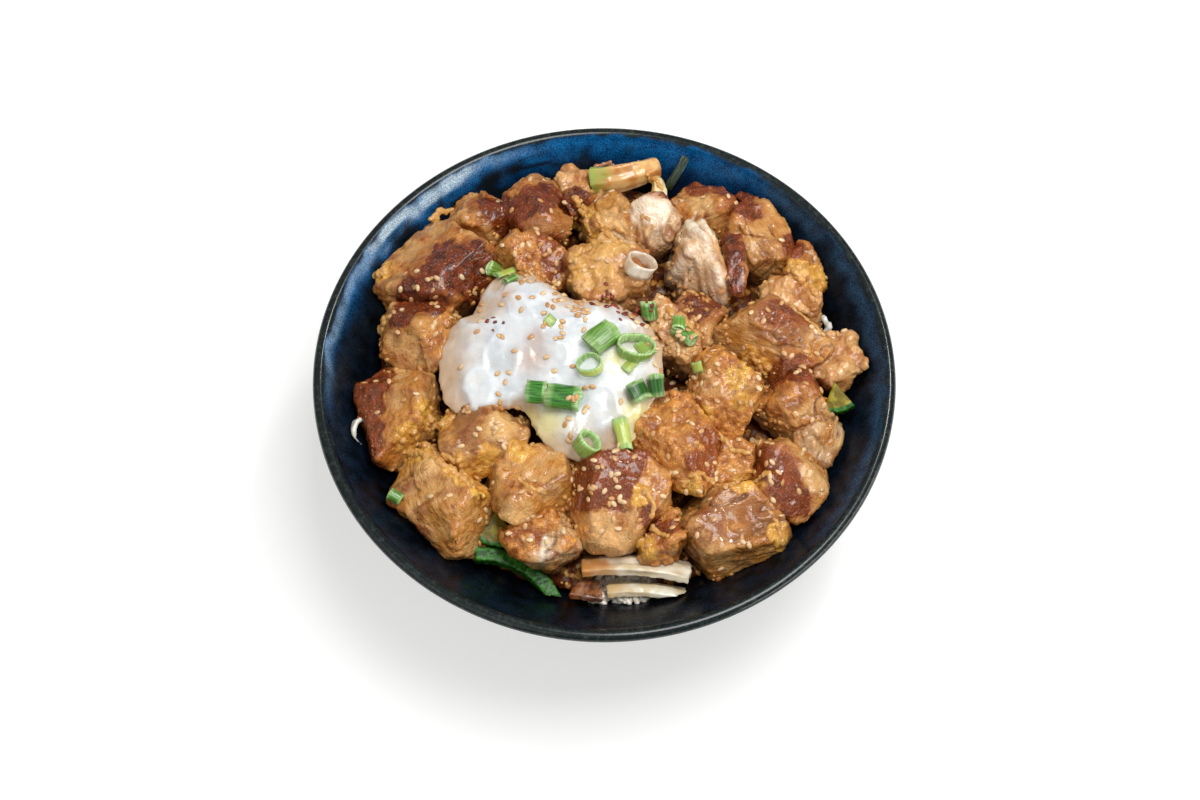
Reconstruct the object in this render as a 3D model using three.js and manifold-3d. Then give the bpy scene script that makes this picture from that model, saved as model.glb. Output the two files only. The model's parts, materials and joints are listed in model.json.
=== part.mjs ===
// A bowl of chicken and egg on rice: a wide glazed stoneware bowl, a bed of rice, a layer of half set egg
// and onion, chunks of browned chicken thigh, a soft poached egg, spring onion, courgette and sesame seeds.
// Units are millimetres and +Z is up. The origin is on the table under the middle of the bowl, and -Y is
// the front. Angles are degrees, counted from +X towards +Y.

import * as THREE from "three";
import { mergeVertices } from "three/addons/utils/BufferGeometryUtils.js";
import Module from "manifold-3d";

const wasm = await Module();
wasm.setup();

// Bowl
const RIM_RADIUS = 102.5;
const BOWL_HEIGHT = 70;
const WALL = 4.5;
const LIP_HEIGHT = 2; // how far the rounded lip stands over the end of the wall
const BASE_THICKNESS = 6;
const FOOT_RADIUS = 37;
const FOOT_WIDTH = 5;
const FOOT_HEIGHT = 8;
const FOOT_RECESS = 5;
const FLOOR_HEIGHT = FOOT_RECESS + BASE_THICKNESS;
const BOWL_SEGMENTS = 36;
const WALL_STEPS = 8;

// Layers of food: each has its height above the table at the middle, and falls from there to FALL_RADIUS
const FALL_RADIUS = 85;
const BACK_RISE = 0.06; // every layer stands a little higher at the back
const TOPPING_HEIGHT = 78;
const TOPPING_FALL = 16;
const BED_HEIGHT = 57;
const BED_FALL = 7;
const BED_LUMP = 0.9;
const BED_THICKNESS = 5;
const LAYER_SECTORS = BOWL_SEGMENTS / 2;
const LAYER_RINGS = 4;

// The bed stops short of the wall at the front, where the rice shows
const RICE_SHOWS = { x: 7, y: -77, reach: 13, heap: 3.2 };
const RICE_GRAIN = [5.6, 2.7, 2.3];
const RICE_GRAINS = 12;
const GRAIN_SPREAD = 9;
const GRAIN_ROOM = 2.1; // from the rice's core to what lies over its grains

// Room between the pieces
const GAP = 0.35; // between a layer or the wall and what touches it
const CLEAR = 0.6; // how much larger a piece's keep-out shape is than the piece
const FINEST = 0.08; // detail left by the cuts that is finer than this is evened out

// Chunks of chicken
const CHUNK_FULLNESS = 1.05; // makes up for what the rounded edges take off the measured sides
const CHUNK_SHARPNESS = 9; // how tightly a chunk's flat cuts meet
const SIDE_TIP = 36; // how far apart, in degrees, the cuts of one chunk may lean
const SMALL_CHUNK = 15.6; // up to this mean side, a chunk has fewer faces

// Soft egg
const EGG_CENTRE = [-16, -4];
const EGG_THICKNESS = 6;
const EGG_RISE = 2.4; // how far its middle stands over the tops of the chunks
const EGG_ROLL = 4.4; // how far its rim rolls down
const EGG_SECTORS = 28;
const EGG_RINGS = 4;

// Small toppings
const LEAF_WALL = 0.9;
const GREEN_THICKNESS = 2;
const SEED_SIZE = [3.4, 2.2, 1.4];
const SEED_SPACING = 3.4;
const SEED_ROOM = 1; // how much clear room, in length and width, a seed needs
const SEED_STANDS_OUT = 0.15;

const GLAZE = new THREE.MeshStandardMaterial({ color: 0x14264a, roughness: 0.15 });
const RICE = new THREE.MeshStandardMaterial({ color: 0xeae6da, roughness: 0.5 });
const SAUCE = new THREE.MeshStandardMaterial({ color: 0x6b3414, roughness: 0.3 });
const GOLDEN = new THREE.MeshStandardMaterial({ color: 0xb9824c, roughness: 0.4 });
const BROWNED = new THREE.MeshStandardMaterial({ color: 0x7d4020, roughness: 0.3 });
const PALE = new THREE.MeshStandardMaterial({ color: 0xe2c4a2, roughness: 0.45 });
const CURD = new THREE.MeshStandardMaterial({ color: 0xd9a14a, roughness: 0.4 });
const EGG_WHITE = new THREE.MeshStandardMaterial({ color: 0xf3efe8, roughness: 0.2 });
const ONION = new THREE.MeshStandardMaterial({ color: 0xe2d6b4, roughness: 0.3 });
const LEAF = new THREE.MeshStandardMaterial({ color: 0x2f8a2c, roughness: 0.4 });
const COURGETTE = new THREE.MeshStandardMaterial({ color: 0x9aa83a, roughness: 0.35 });

// The chunks that show, clockwise from the back left and then inwards. Each has its middle at x, y and its
// top at the topping height plus raise. sides are the distances to its six upright cuts, one every 60
// degrees from yaw, and lean is the direction in which it tips and by how much.
const CHUNKS = [
  { name: "back_left_wedge", finish: BROWNED, x: -62, y: 42, raise: 2, high: 22, lean: [150, 14],
    yaw: 22, sides: [25, 20, 16, 20, 15, 19] },
  { name: "left_upper", finish: BROWNED, x: -66, y: 18, raise: 0, high: 20, lean: [200, 12],
    yaw: -10, sides: [18, 13, 14, 14, 12, 15] },
  { name: "left_middle", finish: BROWNED, x: -72, y: -16, raise: 2, high: 22, lean: [185, 16],
    yaw: 80, sides: [20, 17, 11, 20, 10, 15] },
  { name: "left_front", finish: GOLDEN, x: -55, y: -47, raise: 3, high: 22, lean: [215, 14],
    yaw: 110, sides: [23, 17, 13, 21, 15, 11] },
  { name: "front_left_round", finish: GOLDEN, x: -41, y: -27, raise: 2, high: 19, lean: [250, 8],
    yaw: 5, sides: [15, 12, 14, 15, 11, 11] },
  { name: "front_middle_left", finish: GOLDEN, x: -26, y: -42, raise: 2, high: 20, lean: [260, 10],
    yaw: 10, sides: [14, 12, 12, 14, 13, 14] },
  { name: "front_low", finish: PALE, x: -22, y: -61, raise: 1, high: 16, lean: [260, 12],
    yaw: -15, sides: [16, 10, 9, 16, 9, 9] },
  { name: "front_tall", finish: BROWNED, x: 6, y: -46, raise: 3, high: 24, lean: [255, 16],
    yaw: 40, sides: [17, 16, 17, 19, 17, 15] },
  { name: "crusty_middle", finish: GOLDEN, x: 27, y: -28, raise: 1, high: 22, lean: [280, 8],
    yaw: 100, sides: [21, 13, 11, 19, 13, 12] },
  { name: "crusty_right", finish: GOLDEN, x: 44, y: -9, raise: 2, high: 21, lean: [300, 8],
    yaw: 90, sides: [14, 13, 11, 15, 9, 10] },
  { name: "right_broad", finish: GOLDEN, x: 59, y: 13, raise: 3, high: 22, lean: [330, 10],
    yaw: -12, sides: [20, 16, 13, 20, 13, 14] },
  { name: "right_flat", finish: BROWNED, x: 67, y: -11, raise: 1, high: 18, lean: [340, 12],
    yaw: 0, sides: [14, 12, 11, 13, 9, 9] },
  { name: "right_lobe", finish: PALE, x: 74, y: -22, raise: -1, high: 14, lean: [330, 20],
    yaw: 0, sides: [8, 9, 8, 8, 8, 9] },
  { name: "right_front_cube", finish: BROWNED, x: 63, y: -40, raise: 3, high: 21, lean: [320, 18],
    yaw: 120, sides: [13, 13, 11, 14, 13, 14] },
  { name: "front_right_broad", finish: GOLDEN, x: 46, y: -56, raise: 3, high: 21, lean: [290, 12],
    yaw: 10, sides: [17, 16, 15, 18, 16, 14] },
  { name: "front_gap", finish: BROWNED, x: 19, y: -60, raise: 0, high: 16, lean: [270, 14],
    yaw: 90, sides: [9, 9, 9, 11, 8, 8] },
  { name: "crumb_middle", finish: GOLDEN, x: 45, y: -33, raise: -2, high: 16, lean: [0, 0],
    yaw: 10, sides: [10, 9, 12, 10, 9, 8] },
  { name: "back_right_left", finish: GOLDEN, x: 37, y: 68, raise: 1, high: 19, lean: [80, 14],
    yaw: -20, sides: [12, 11, 10, 11, 10, 10] },
  { name: "back_right_lobe", finish: BROWNED, x: 54, y: 57, raise: 3, high: 22, lean: [50, 16],
    yaw: -60, sides: [20, 12, 12, 18, 12, 11] },
  { name: "right_back_small", finish: BROWNED, x: 70, y: 45, raise: 0, high: 17, lean: [40, 16],
    yaw: -60, sides: [12, 9, 9, 10, 8, 9] },
  { name: "torn_white", finish: PALE, x: 35, y: 41, raise: 3, high: 20, lean: [300, 14],
    yaw: -62, sides: [22, 10, 11, 19, 9, 9] },
  { name: "white_end", finish: PALE, x: 18, y: 60, raise: 3, high: 19, lean: [90, 6],
    yaw: 90, sides: [11, 9, 8, 11, 8, 9] },
  { name: "back_flat", finish: GOLDEN, x: 3, y: 60, raise: 1, high: 18, lean: [80, 10],
    yaw: -20, sides: [11, 9, 10, 11, 9, 9] },
  { name: "back_dark", finish: BROWNED, x: -24, y: 67, raise: 2, high: 20, lean: [100, 12],
    yaw: -40, sides: [15, 9, 11, 13, 11, 11] },
  { name: "back_left_dark", finish: BROWNED, x: -46, y: 65, raise: 0, high: 18, lean: [130, 14],
    yaw: 10, sides: [12, 11, 10, 12, 10, 10] },
  { name: "streaked_crust", finish: GOLDEN, x: -26, y: 44, raise: 1, high: 20, lean: [120, 6],
    yaw: -40, sides: [13, 11, 12, 14, 10, 11] },
  { name: "sauce_hollow", finish: BROWNED, x: 33, y: 21, raise: -5, high: 14, lean: [0, 0],
    yaw: 90, sides: [10, 10, 10, 10, 9, 10] },
  { name: "small_cap", finish: BROWNED, x: -10, y: 69, raise: 2, high: 14, lean: [0, 0],
    yaw: 0, sides: [7, 6, 6, 7, 7, 7] },
];

// Heaps of egg curds: a chunk each, with that many lumps on it.
const CURDS = [
  { name: "curds_right", x: 66, y: 31, raise: 1, high: 16, lumps: 5,
    yaw: -20, sides: [15, 9, 8, 14, 8, 9] },
  { name: "curds_far_right", x: 84, y: 8, raise: 1, high: 14, lumps: 5,
    yaw: 100, sides: [13, 9, 10, 13, 8, 9] },
  { name: "curds_back", x: -12, y: 79, raise: -1, high: 13, lumps: 4,
    yaw: 0, sides: [9, 8, 7, 9, 6, 7] },
  { name: "curds_middle", x: 2, y: 37, raise: 0, high: 18, lumps: 5,
    yaw: 10, sides: [15, 14, 14, 16, 12, 13] },
  { name: "crumbs_middle", x: 24, y: 11, raise: -1, high: 16, lumps: 5,
    yaw: 125, sides: [19, 8, 8, 19, 8, 8] },
];

// Bent strips of onion, peel and skin. size is length, width and thickness, bend the angle along the
// length, cup the rise across the width, and taper the share of the width lost at the far end.
const STRIPS = [
  { name: "onion_front_upper", finish: ONION, at: [11, -69, 54], turn: [-42, 0, -4],
    size: [37, 13, 2.8], bend: 22, cup: 1.2 },
  { name: "onion_front_lower", finish: ONION, at: [15, -77, 51.5], turn: [-35, 0, -5],
    size: [28, 7, 2.2], bend: 26, cup: 0.8 },
  { name: "onion_glazed_front", finish: SAUCE, at: [-5, -75, 51], turn: [0, 48, 80],
    size: [18, 12, 2.2], bend: 50, taper: 0.7 },
  { name: "onion_back", finish: ONION, at: [8, 81, 68], turn: [48, 0, 16],
    size: [26, 12, 3], bend: 50, cup: 1.4, taper: 0.3 },
  { name: "onion_back_right", finish: ONION, at: [20, 78, 68], turn: [30, 20, 100],
    size: [11, 6, 2.6], bend: 60, taper: 0.3 },
  { name: "onion_curl_left", finish: ONION, at: [-88, -19, 61.5], turn: [-55, 0, 72],
    size: [17, 3, 1.4], bend: 170 },
  { name: "green_strip_back", finish: LEAF, at: [27, 82, 69], turn: [40, -25, 55],
    size: [14, 3.4, 0.9], bend: 30 },
  { name: "courgette_skin_front", finish: COURGETTE, at: [-28, -68, 50.5], turn: [-90, 6, -30],
    size: [35, 4.5, 5], bend: 71 },
  { name: "chicken_skin_strip", finish: BROWNED, at: [47, 40, 73.5], turn: [0, 0, 92],
    size: [24, 6, 4], bend: 40 },
];

// Sectors of courgette slices, from one angle to the other.
const SLICES = [
  { name: "courgette_right", at: [81.5, -2, 61.5], turn: [12, -10, 0],
    radius: 11.5, thick: 3.5, from: 246, to: 306 },
  { name: "courgette_left", at: [-36, -50, 56], turn: [16, 6, 0],
    radius: 12.5, thick: 4, from: 195, to: 300 },
];

// Rings and tubes lie on what is under them: over is how far the middle stands over that.
const TUBES = [
  { name: "onion_ring_middle", finish: ONION, x: 13, y: 36, over: 3.6, turn: [66, 24, 0],
    radius: 5.6, length: 5, flat: 1 },
  { name: "spring_onion_large", finish: LEAF, x: -14, y: -18, over: 3.6, turn: [0, 0, 84],
    radius: 4.7, length: 12, flat: 0.75 },
  { name: "spring_onion_second", finish: LEAF, x: -23.5, y: -15, over: 3.4, turn: [0, 0, 86],
    radius: 4.2, length: 7, flat: 0.75 },
  { name: "spring_onion_blade", finish: LEAF, x: -1, y: 4, over: 2.8, turn: [0, 8, -48],
    radius: 4.6, length: 11, flat: 0.5 },
  { name: "spring_onion_ring_pale", finish: LEAF, x: 11, y: 1, over: 2.9, turn: [76, 10, 0],
    radius: 6.4, length: 4, flat: 0.8 },
  { name: "spring_onion_ring_yellow", finish: LEAF, x: -5, y: -6, over: 2.4, turn: [80, -12, 0],
    radius: 4.6, length: 3.4, flat: 0.85 },
  { name: "spring_onion_dark", finish: LEAF, x: 12, y: -15, over: 3, turn: [20, 30, 40],
    radius: 4, length: 7, flat: 0.6 },
  { name: "spring_onion_upright", finish: LEAF, x: 18, y: -12, over: 3.2, turn: [30, 0, 6],
    radius: 2.8, length: 8, flat: 0.6 },
  { name: "spring_onion_front", finish: LEAF, x: -6, y: -34, over: 3.6, turn: [50, 10, -50],
    radius: 4.4, length: 5.5, flat: 1 },
  { name: "spring_onion_stalk", finish: LEAF, x: 6, y: -30, over: 2.6, turn: [10, 0, 12],
    radius: 2.6, length: 11, flat: 0.7 },
  { name: "spring_onion_loop", finish: LEAF, x: 16, y: 18, over: 3.2, turn: [40, 0, 8],
    radius: 3, length: 6, flat: 1 },
  { name: "spring_onion_right", finish: LEAF, x: 28, y: 9, over: 2.8, turn: [0, 10, 48],
    radius: 3, length: 8, flat: 0.7 },
];

// Short bits of spring onion stuck in the egg.
const EGG_GREENS = [
  { x: -32, y: 23, length: 5, width: 3.4, yaw: 40 },
  { x: -25, y: 5, length: 6, width: 2.4, yaw: 15 },
  { x: -3, y: -18, length: 7, width: 3, yaw: 170 },
  { x: -8, y: -11, length: 4.6, width: 2.6, yaw: 120 },
];

// The soft egg's edge, as angle and reach from its middle: a lobe at the back left, a bay at the front left
// and a tongue to the front right.
const EGG_EDGE = [
  [0, 37], [11, 38], [25, 37], [40, 36], [58, 31], [78, 29], [90, 31], [98, 36], [108, 46],
  [120, 48], [129, 43], [138, 39], [147, 41], [158, 46], [170, 44], [186, 42], [202, 41],
  [212, 30], [222, 18], [240, 20], [256, 27], [268, 31], [282, 35], [300, 36], [317, 38], [338, 35],
];

// Where the egg swells over what lies under it, or sinks in between.
const EGG_SWELLS = [
  { x: -23, y: 11, reach: 9, rise: 2.2 },
  { x: -40, y: 8, reach: 12, rise: 1.2 },
  { x: -32, y: 26, reach: 8, rise: 2.4 },
  { x: -33, y: -6, reach: 13, rise: -1.6 },
  { x: -12, y: -13, reach: 8, rise: -1.8 },
  { x: 6, y: -12, reach: 10, rise: 1.6 },
  { x: -3, y: -28, reach: 10, rise: 0.8 },
  { x: 8, y: 12, reach: 9, rise: -0.8 },
];

// Patches where the sesame seeds fall.
const SEED_PATCHES = [
  { x: -20, y: 14, reach: 24, count: 8 },
  { x: -10, y: -20, reach: 24, count: 5 },
  { x: 26, y: 6, reach: 20, count: 7 },
  { x: 2, y: -42, reach: 15, count: 7 },
  { x: 58, y: 8, reach: 20, count: 5 },
  { x: -52, y: 26, reach: 24, count: 5 },
  { x: 42, y: -48, reach: 24, count: 5 },
  { x: -42, y: -38, reach: 24, count: 5 },
];

const radians = (degrees) => THREE.MathUtils.degToRad(degrees);
const mean = (values) => values.reduce((sum, value) => sum + value, 0) / values.length;

// A repeatable random draw between 0 and 1.
function randomFrom(seed) {
  let state = seed * 2654435761 + 97;
  return () => {
    state = (state + 0x6d2b79f5) | 0;
    let mixed = Math.imul(state ^ (state >>> 15), 1 | state);
    mixed = (mixed + Math.imul(mixed ^ (mixed >>> 7), 61 | mixed)) ^ mixed;
    return ((mixed ^ (mixed >>> 14)) >>> 0) / 2 ** 32;
  };
}

// Solids and geometry

// A closed geometry as a solid, facing out, without the flat triangles that a pole leaves.
function toSolid(geometry) {
  const bare = geometry.clone();
  for (const name of Object.keys(bare.attributes)) {
    if (name !== "position") bare.deleteAttribute(name);
  }
  const merged = mergeVertices(bare, 1e-3);
  const corners = [];
  const all = merged.index.array;
  for (let i = 0; i < all.length; i += 3) {
    const [a, b, c] = [all[i], all[i + 1], all[i + 2]];
    if (a !== b && b !== c && a !== c) corners.push(a, b, c);
  }
  const vertProperties = merged.attributes.position.array;
  const solidFrom = (triVerts) => new wasm.Manifold(new wasm.Mesh({ numProp: 3, vertProperties, triVerts }));
  const made = solidFrom(new Uint32Array(corners));
  return made.volume() > 0 ? made : solidFrom(new Uint32Array(corners.reverse()));
}

function toGeometry(solid) {
  const mesh = solid.getMesh();
  const position = new Float32Array(mesh.numVert * 3);
  for (let i = 0; i < mesh.numVert; i++) {
    position.set(mesh.vertProperties.subarray(i * mesh.numProp, i * mesh.numProp + 3), i * 3);
  }
  const geometry = new THREE.BufferGeometry();
  geometry.setAttribute("position", new THREE.BufferAttribute(position, 3));
  geometry.setIndex(new THREE.BufferAttribute(mesh.triVerts, 1));
  geometry.computeVertexNormals();
  return geometry;
}

// The triangles of a solid, each as its corners and its normal.
function trianglesOf(solid) {
  const { attributes, index } = toGeometry(solid);
  const corner = (i) => new THREE.Vector3().fromBufferAttribute(attributes.position, index.getX(i));
  return Array.from({ length: index.count / 3 }, (_, i) => {
    const [a, b, c] = [corner(3 * i), corner(3 * i + 1), corner(3 * i + 2)];
    const normal = new THREE.Triangle(a, b, c).getNormal(new THREE.Vector3());
    return { a, b, c, normal };
  });
}

// The biggest of the bodies that a cut leaves.
function largest(solid) {
  return solid.decompose().reduce((best, body) => (body.volume() > best.volume() ? body : best));
}

function boxesMeet(a, b) {
  const [p, q] = [a.boundingBox(), b.boundingBox()];
  return [0, 1, 2].every((i) => p.min[i] < q.max[i] && q.min[i] < p.max[i]);
}

// A geometry turned about X, then Y, then Z, and moved to its place.
function placed(geometry, at, turn) {
  const euler = new THREE.Euler(...turn.map(radians), "ZYX");
  return toSolid(geometry.applyMatrix4(new THREE.Matrix4().makeRotationFromEuler(euler)).translate(...at));
}

// A shape of radius 1 stretched to a size, turned by yaw and laid so that its top points along normal.
function laidSolid(geometry, { at, size, yaw, normal = new THREE.Vector3(0, 0, 1) }) {
  const up = new THREE.Vector3(0, 0, 1);
  const lie = new THREE.Quaternion().setFromUnitVectors(up, normal);
  const turn = new THREE.Quaternion().setFromAxisAngle(up, yaw);
  const scale = new THREE.Vector3(...size).multiplyScalar(0.5);
  const place = new THREE.Matrix4().compose(new THREE.Vector3(...at), lie.multiply(turn), scale);
  return toSolid(geometry.applyMatrix4(place));
}

const grainSolid = (place) => laidSolid(new THREE.IcosahedronGeometry(1, 0), place);
const seedSolid = (place) => laidSolid(new THREE.OctahedronGeometry(1, 0), place);

// Bowl

const innerCurve = new THREE.CubicBezierCurve(
  new THREE.Vector2(0, FLOOR_HEIGHT),
  new THREE.Vector2(RIM_RADIUS * 0.49, FLOOR_HEIGHT),
  new THREE.Vector2(RIM_RADIUS * 0.73, BOWL_HEIGHT * 0.59),
  new THREE.Vector2(RIM_RADIUS - WALL, BOWL_HEIGHT - LIP_HEIGHT),
);

// The inside of the bowl as points from the floor to the lip, moved inwards by inset.
function innerProfile(steps, inset = 0) {
  return Array.from({ length: steps + 1 }, (_, i) => {
    const point = innerCurve.getPoint(i / steps);
    const tangent = innerCurve.getTangent(i / steps);
    return new THREE.Vector2(Math.max(0, point.x - tangent.y * inset), point.y + tangent.x * inset);
  });
}

function latheSolid(profile, segments) {
  return toSolid(new THREE.LatheGeometry(profile, segments).rotateX(Math.PI / 2));
}

function bowlSolid() {
  const inner = innerProfile(WALL_STEPS);
  const lipX = RIM_RADIUS - WALL / 2;
  const lip = [135, 90, 45, 0].map((angle) => {
    const rise = LIP_HEIGHT * Math.sin(radians(angle));
    return new THREE.Vector2(lipX + (WALL / 2) * Math.cos(radians(angle)), BOWL_HEIGHT - LIP_HEIGHT + rise);
  });
  // The outside runs a wall's thickness under the inside, down to the top of the foot.
  const outer = innerProfile(WALL_STEPS, -WALL)
    .filter((point) => point.x > FOOT_RADIUS + 2 && point.x < lipX)
    .reverse();
  const footInner = FOOT_RADIUS - FOOT_WIDTH;
  const foot = [
    [FOOT_RADIUS, FOOT_HEIGHT],
    [FOOT_RADIUS - 1, 0],
    [footInner, 0],
    [footInner - 1, FOOT_RECESS],
    [0, FOOT_RECESS],
  ].map(([x, y]) => new THREE.Vector2(x, y));
  return latheSolid([...inner, ...lip, ...outer, ...foot], BOWL_SEGMENTS);
}

// The room inside the bowl, clear of its wall and open to well above the food. With half of the bowl's
// segments, its flats stay inside the wall's.
function cavitySolid() {
  const wall = innerProfile(6, GAP);
  const top = 2 * BOWL_HEIGHT;
  const lid = [new THREE.Vector2(wall.at(-1).x, top), new THREE.Vector2(0, top)];
  return latheSolid([...wall, ...lid], BOWL_SEGMENTS / 2);
}

// Layers

// A round heap on a polar grid. outline(angle) is the reach of its edge, and top and bottom give the
// heights of its faces at x, y and a share of the way out.
function heapSolid({ centre = [0, 0], sectors, rings, outline, top, bottom }) {
  const points = [];
  const triangles = [];
  const addFace = (height) => {
    const first = points.length / 3;
    points.push(...centre, height(...centre, 0));
    for (let ring = 1; ring <= rings; ring++) {
      for (let k = 0; k < sectors; k++) {
        const angle = (2 * Math.PI * k) / sectors;
        const out = ring / rings;
        const x = centre[0] + outline(angle) * out * Math.cos(angle);
        const y = centre[1] + outline(angle) * out * Math.sin(angle);
        points.push(x, y, height(x, y, out));
      }
    }
    return first;
  };
  const at = (first, ring, k) => (ring === 0 ? first : first + 1 + (ring - 1) * sectors + (k % sectors));
  const upper = addFace(top);
  const lower = addFace(bottom);
  for (let k = 0; k < sectors; k++) {
    for (let ring = 0; ring < rings; ring++) {
      for (const first of [upper, lower]) {
        const [a, b] = [at(first, ring, k), at(first, ring + 1, k)];
        const [c, d] = [at(first, ring + 1, k + 1), at(first, ring, k + 1)];
        const quad = ring === 0 ? [[a, b, c]] : [[a, b, c], [a, c, d]];
        for (const face of quad) triangles.push(...(first === upper ? face : face.reverse()));
      }
    }
    const [a, b] = [at(upper, rings, k), at(upper, rings, k + 1)];
    const [c, d] = [at(lower, rings, k), at(lower, rings, k + 1)];
    triangles.push(a, c, b, b, c, d);
  }
  const geometry = new THREE.BufferGeometry();
  geometry.setAttribute("position", new THREE.Float32BufferAttribute(points, 3));
  geometry.setIndex(triangles);
  return toSolid(geometry);
}

const layerSolid = (top, bottom) =>
  heapSolid({ sectors: LAYER_SECTORS, rings: LAYER_RINGS, outline: () => RIM_RADIUS, top, bottom });

const fallAt = (x, y) => (x * x + y * y) / FALL_RADIUS ** 2;
const toppingTop = (x, y) => TOPPING_HEIGHT + BACK_RISE * y - TOPPING_FALL * fallAt(x, y);

function bedTop(x, y) {
  const lumps = Math.sin(x * 0.31 + y * 0.12) + Math.sin(y * 0.37 - x * 0.09 + 1.3);
  return BED_HEIGHT + BACK_RISE * y - BED_FALL * fallAt(x, y) + BED_LUMP * lumps;
}

function riceTop(x, y) {
  const smooth = BED_HEIGHT - BED_THICKNESS + BACK_RISE * y - BED_FALL * fallAt(x, y);
  const away = Math.hypot(x - RICE_SHOWS.x, y - RICE_SHOWS.y) / (RICE_SHOWS.reach + 3);
  return smooth + RICE_SHOWS.heap * Math.max(0, 1 - away) + 0.5 * Math.sin(x * 0.5) * Math.sin(y * 0.45);
}

// Rice: a core on the bowl's wall, with whole grains where it shows at the front.
function riceSolid(cavity) {
  const draw = randomFrom(11);
  const grains = Array.from({ length: RICE_GRAINS }, (_, i) => {
    const x = RICE_SHOWS.x + GRAIN_SPREAD * ((2 * (i + draw())) / RICE_GRAINS - 1);
    const y = RICE_SHOWS.y + 5 * draw() - 3;
    return grainSolid({ at: [x, y, riceTop(x, y) + 0.5], size: RICE_GRAIN, yaw: draw() * Math.PI });
  });
  const core = layerSolid(riceTop, () => 0);
  return largest(wasm.Manifold.union([core, ...grains]).intersect(cavity));
}

// The upright hole in the bed over the rice that shows, smaller all round by inset.
function openingSolid(inset) {
  const reach = RICE_SHOWS.reach - inset;
  const hole = new THREE.CylinderGeometry(reach, reach, BOWL_HEIGHT, 10).rotateX(Math.PI / 2);
  return toSolid(hole.translate(RICE_SHOWS.x, RICE_SHOWS.y, BOWL_HEIGHT * 0.7));
}

// Half set egg, onion and sauce, spread over the rice.
function bedSolid(cavity) {
  const raw = layerSolid(bedTop, (x, y) => riceTop(x, y) + GAP);
  return largest(raw.intersect(cavity).subtract(openingSolid(0)));
}

// The bed and the rice with the room they need: what lies on them is cut to rest there.
function groundSolid() {
  const bed = layerSolid((x, y) => bedTop(x, y) + GAP, () => -5);
  const rice = layerSolid((x, y) => riceTop(x, y) + GRAIN_ROOM, () => -5);
  return bed.subtract(openingSolid(GAP)).add(rice);
}

// Chunks and curds

// The flat cuts of a chunk, as normals and distances: six sides that lean a little, a top and a bottom.
function cutsOf({ sides, high, yaw }, draw) {
  const upright = sides.map((side, k) => {
    const angle = radians(yaw + (k * 360) / sides.length);
    const tip = radians((draw() - 0.45) * SIDE_TIP);
    const normal = new THREE.Vector3(Math.cos(angle), Math.sin(angle), Math.tan(tip)).normalize();
    return { normal, distance: side * CHUNK_FULLNESS };
  });
  const level = [1, -1].map((up) => ({ normal: new THREE.Vector3(0, 0, up), distance: high / 2 }));
  return [...upright, ...level];
}

// A chunk is a ball whose reach in each direction is set by its cuts, with rounded edges and low waves.
function chunkSolid(shape, grow = 0) {
  const { x, y, raise, high, lean = [0, 0], seed, waviness = 0.042, fine } = shape;
  const draw = randomFrom(seed);
  const cuts = cutsOf(shape, draw);
  const waves = Array.from({ length: 4 }, () => ({
    along: new THREE.Vector3(draw() - 0.5, draw() - 0.5, draw() - 0.5).setLength(5),
    shift: draw() * 2 * Math.PI,
  }));
  const reachAlong = (direction) => {
    let sum = 0;
    for (const { normal, distance } of cuts) {
      sum += Math.max(0, normal.dot(direction) / distance) ** CHUNK_SHARPNESS;
    }
    let wave = 0;
    for (const { along, shift } of waves) wave += Math.sin(along.dot(direction) + shift);
    return sum ** (-1 / CHUNK_SHARPNESS) * (1 + waviness * wave) + grow;
  };
  const axis = new THREE.Vector3(-Math.sin(radians(lean[0])), Math.cos(radians(lean[0])), 0);
  const geometry = new THREE.IcosahedronGeometry(1, fine);
  const position = geometry.attributes.position;
  const direction = new THREE.Vector3();
  for (let i = 0; i < position.count; i++) {
    direction.fromBufferAttribute(position, i).normalize();
    direction.multiplyScalar(reachAlong(direction)).applyAxisAngle(axis, radians(lean[1]));
    position.setXYZ(i, direction.x, direction.y, direction.z);
  }
  return toSolid(geometry.translate(x, y, toppingTop(x, y) + raise - high / 2));
}

// A crumbly heap of egg curds: a wavy chunk with rounded lumps fused all over it.
function curdSolid(shape, grow = 0) {
  const draw = randomFrom(shape.seed + 500);
  const core = chunkSolid({ ...shape, waviness: 0.072, fine: 1 }, grow);
  const middle = toppingTop(shape.x, shape.y) + shape.raise - shape.high / 2;
  const lumps = Array.from({ length: shape.lumps }, (_, i) => {
    const angle = (2 * Math.PI * (i + 0.6 * draw())) / shape.lumps + radians(shape.yaw);
    const out = mean(shape.sides) * (0.45 + 0.5 * draw());
    const size = 2.6 + 2.2 * draw();
    const up = shape.high * (0.1 + 0.3 * draw());
    const lump = new THREE.IcosahedronGeometry(size + grow, 0);
    const place = [shape.x + out * Math.cos(angle), shape.y + out * Math.sin(angle), middle + up];
    return toSolid(lump.translate(...place));
  });
  return wasm.Manifold.union([core, ...lumps]);
}

// Soft egg

function eggReach(angle) {
  const degrees = THREE.MathUtils.euclideanModulo(THREE.MathUtils.radToDeg(angle), 360);
  const closed = [...EGG_EDGE, [360, EGG_EDGE[0][1]]];
  const next = closed.findIndex(([edge]) => edge > degrees);
  const [from, to] = [closed[next - 1], closed[next]];
  return THREE.MathUtils.lerp(from[1], to[1], THREE.MathUtils.smoothstep(degrees, from[0], to[0]));
}

function eggSwell(x, y) {
  let height = 0.4 * Math.sin(x * 0.33 + y * 0.28);
  for (const swell of EGG_SWELLS) {
    height += swell.rise * Math.exp(-((x - swell.x) ** 2 + (y - swell.y) ** 2) / swell.reach ** 2);
  }
  return height;
}

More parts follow.
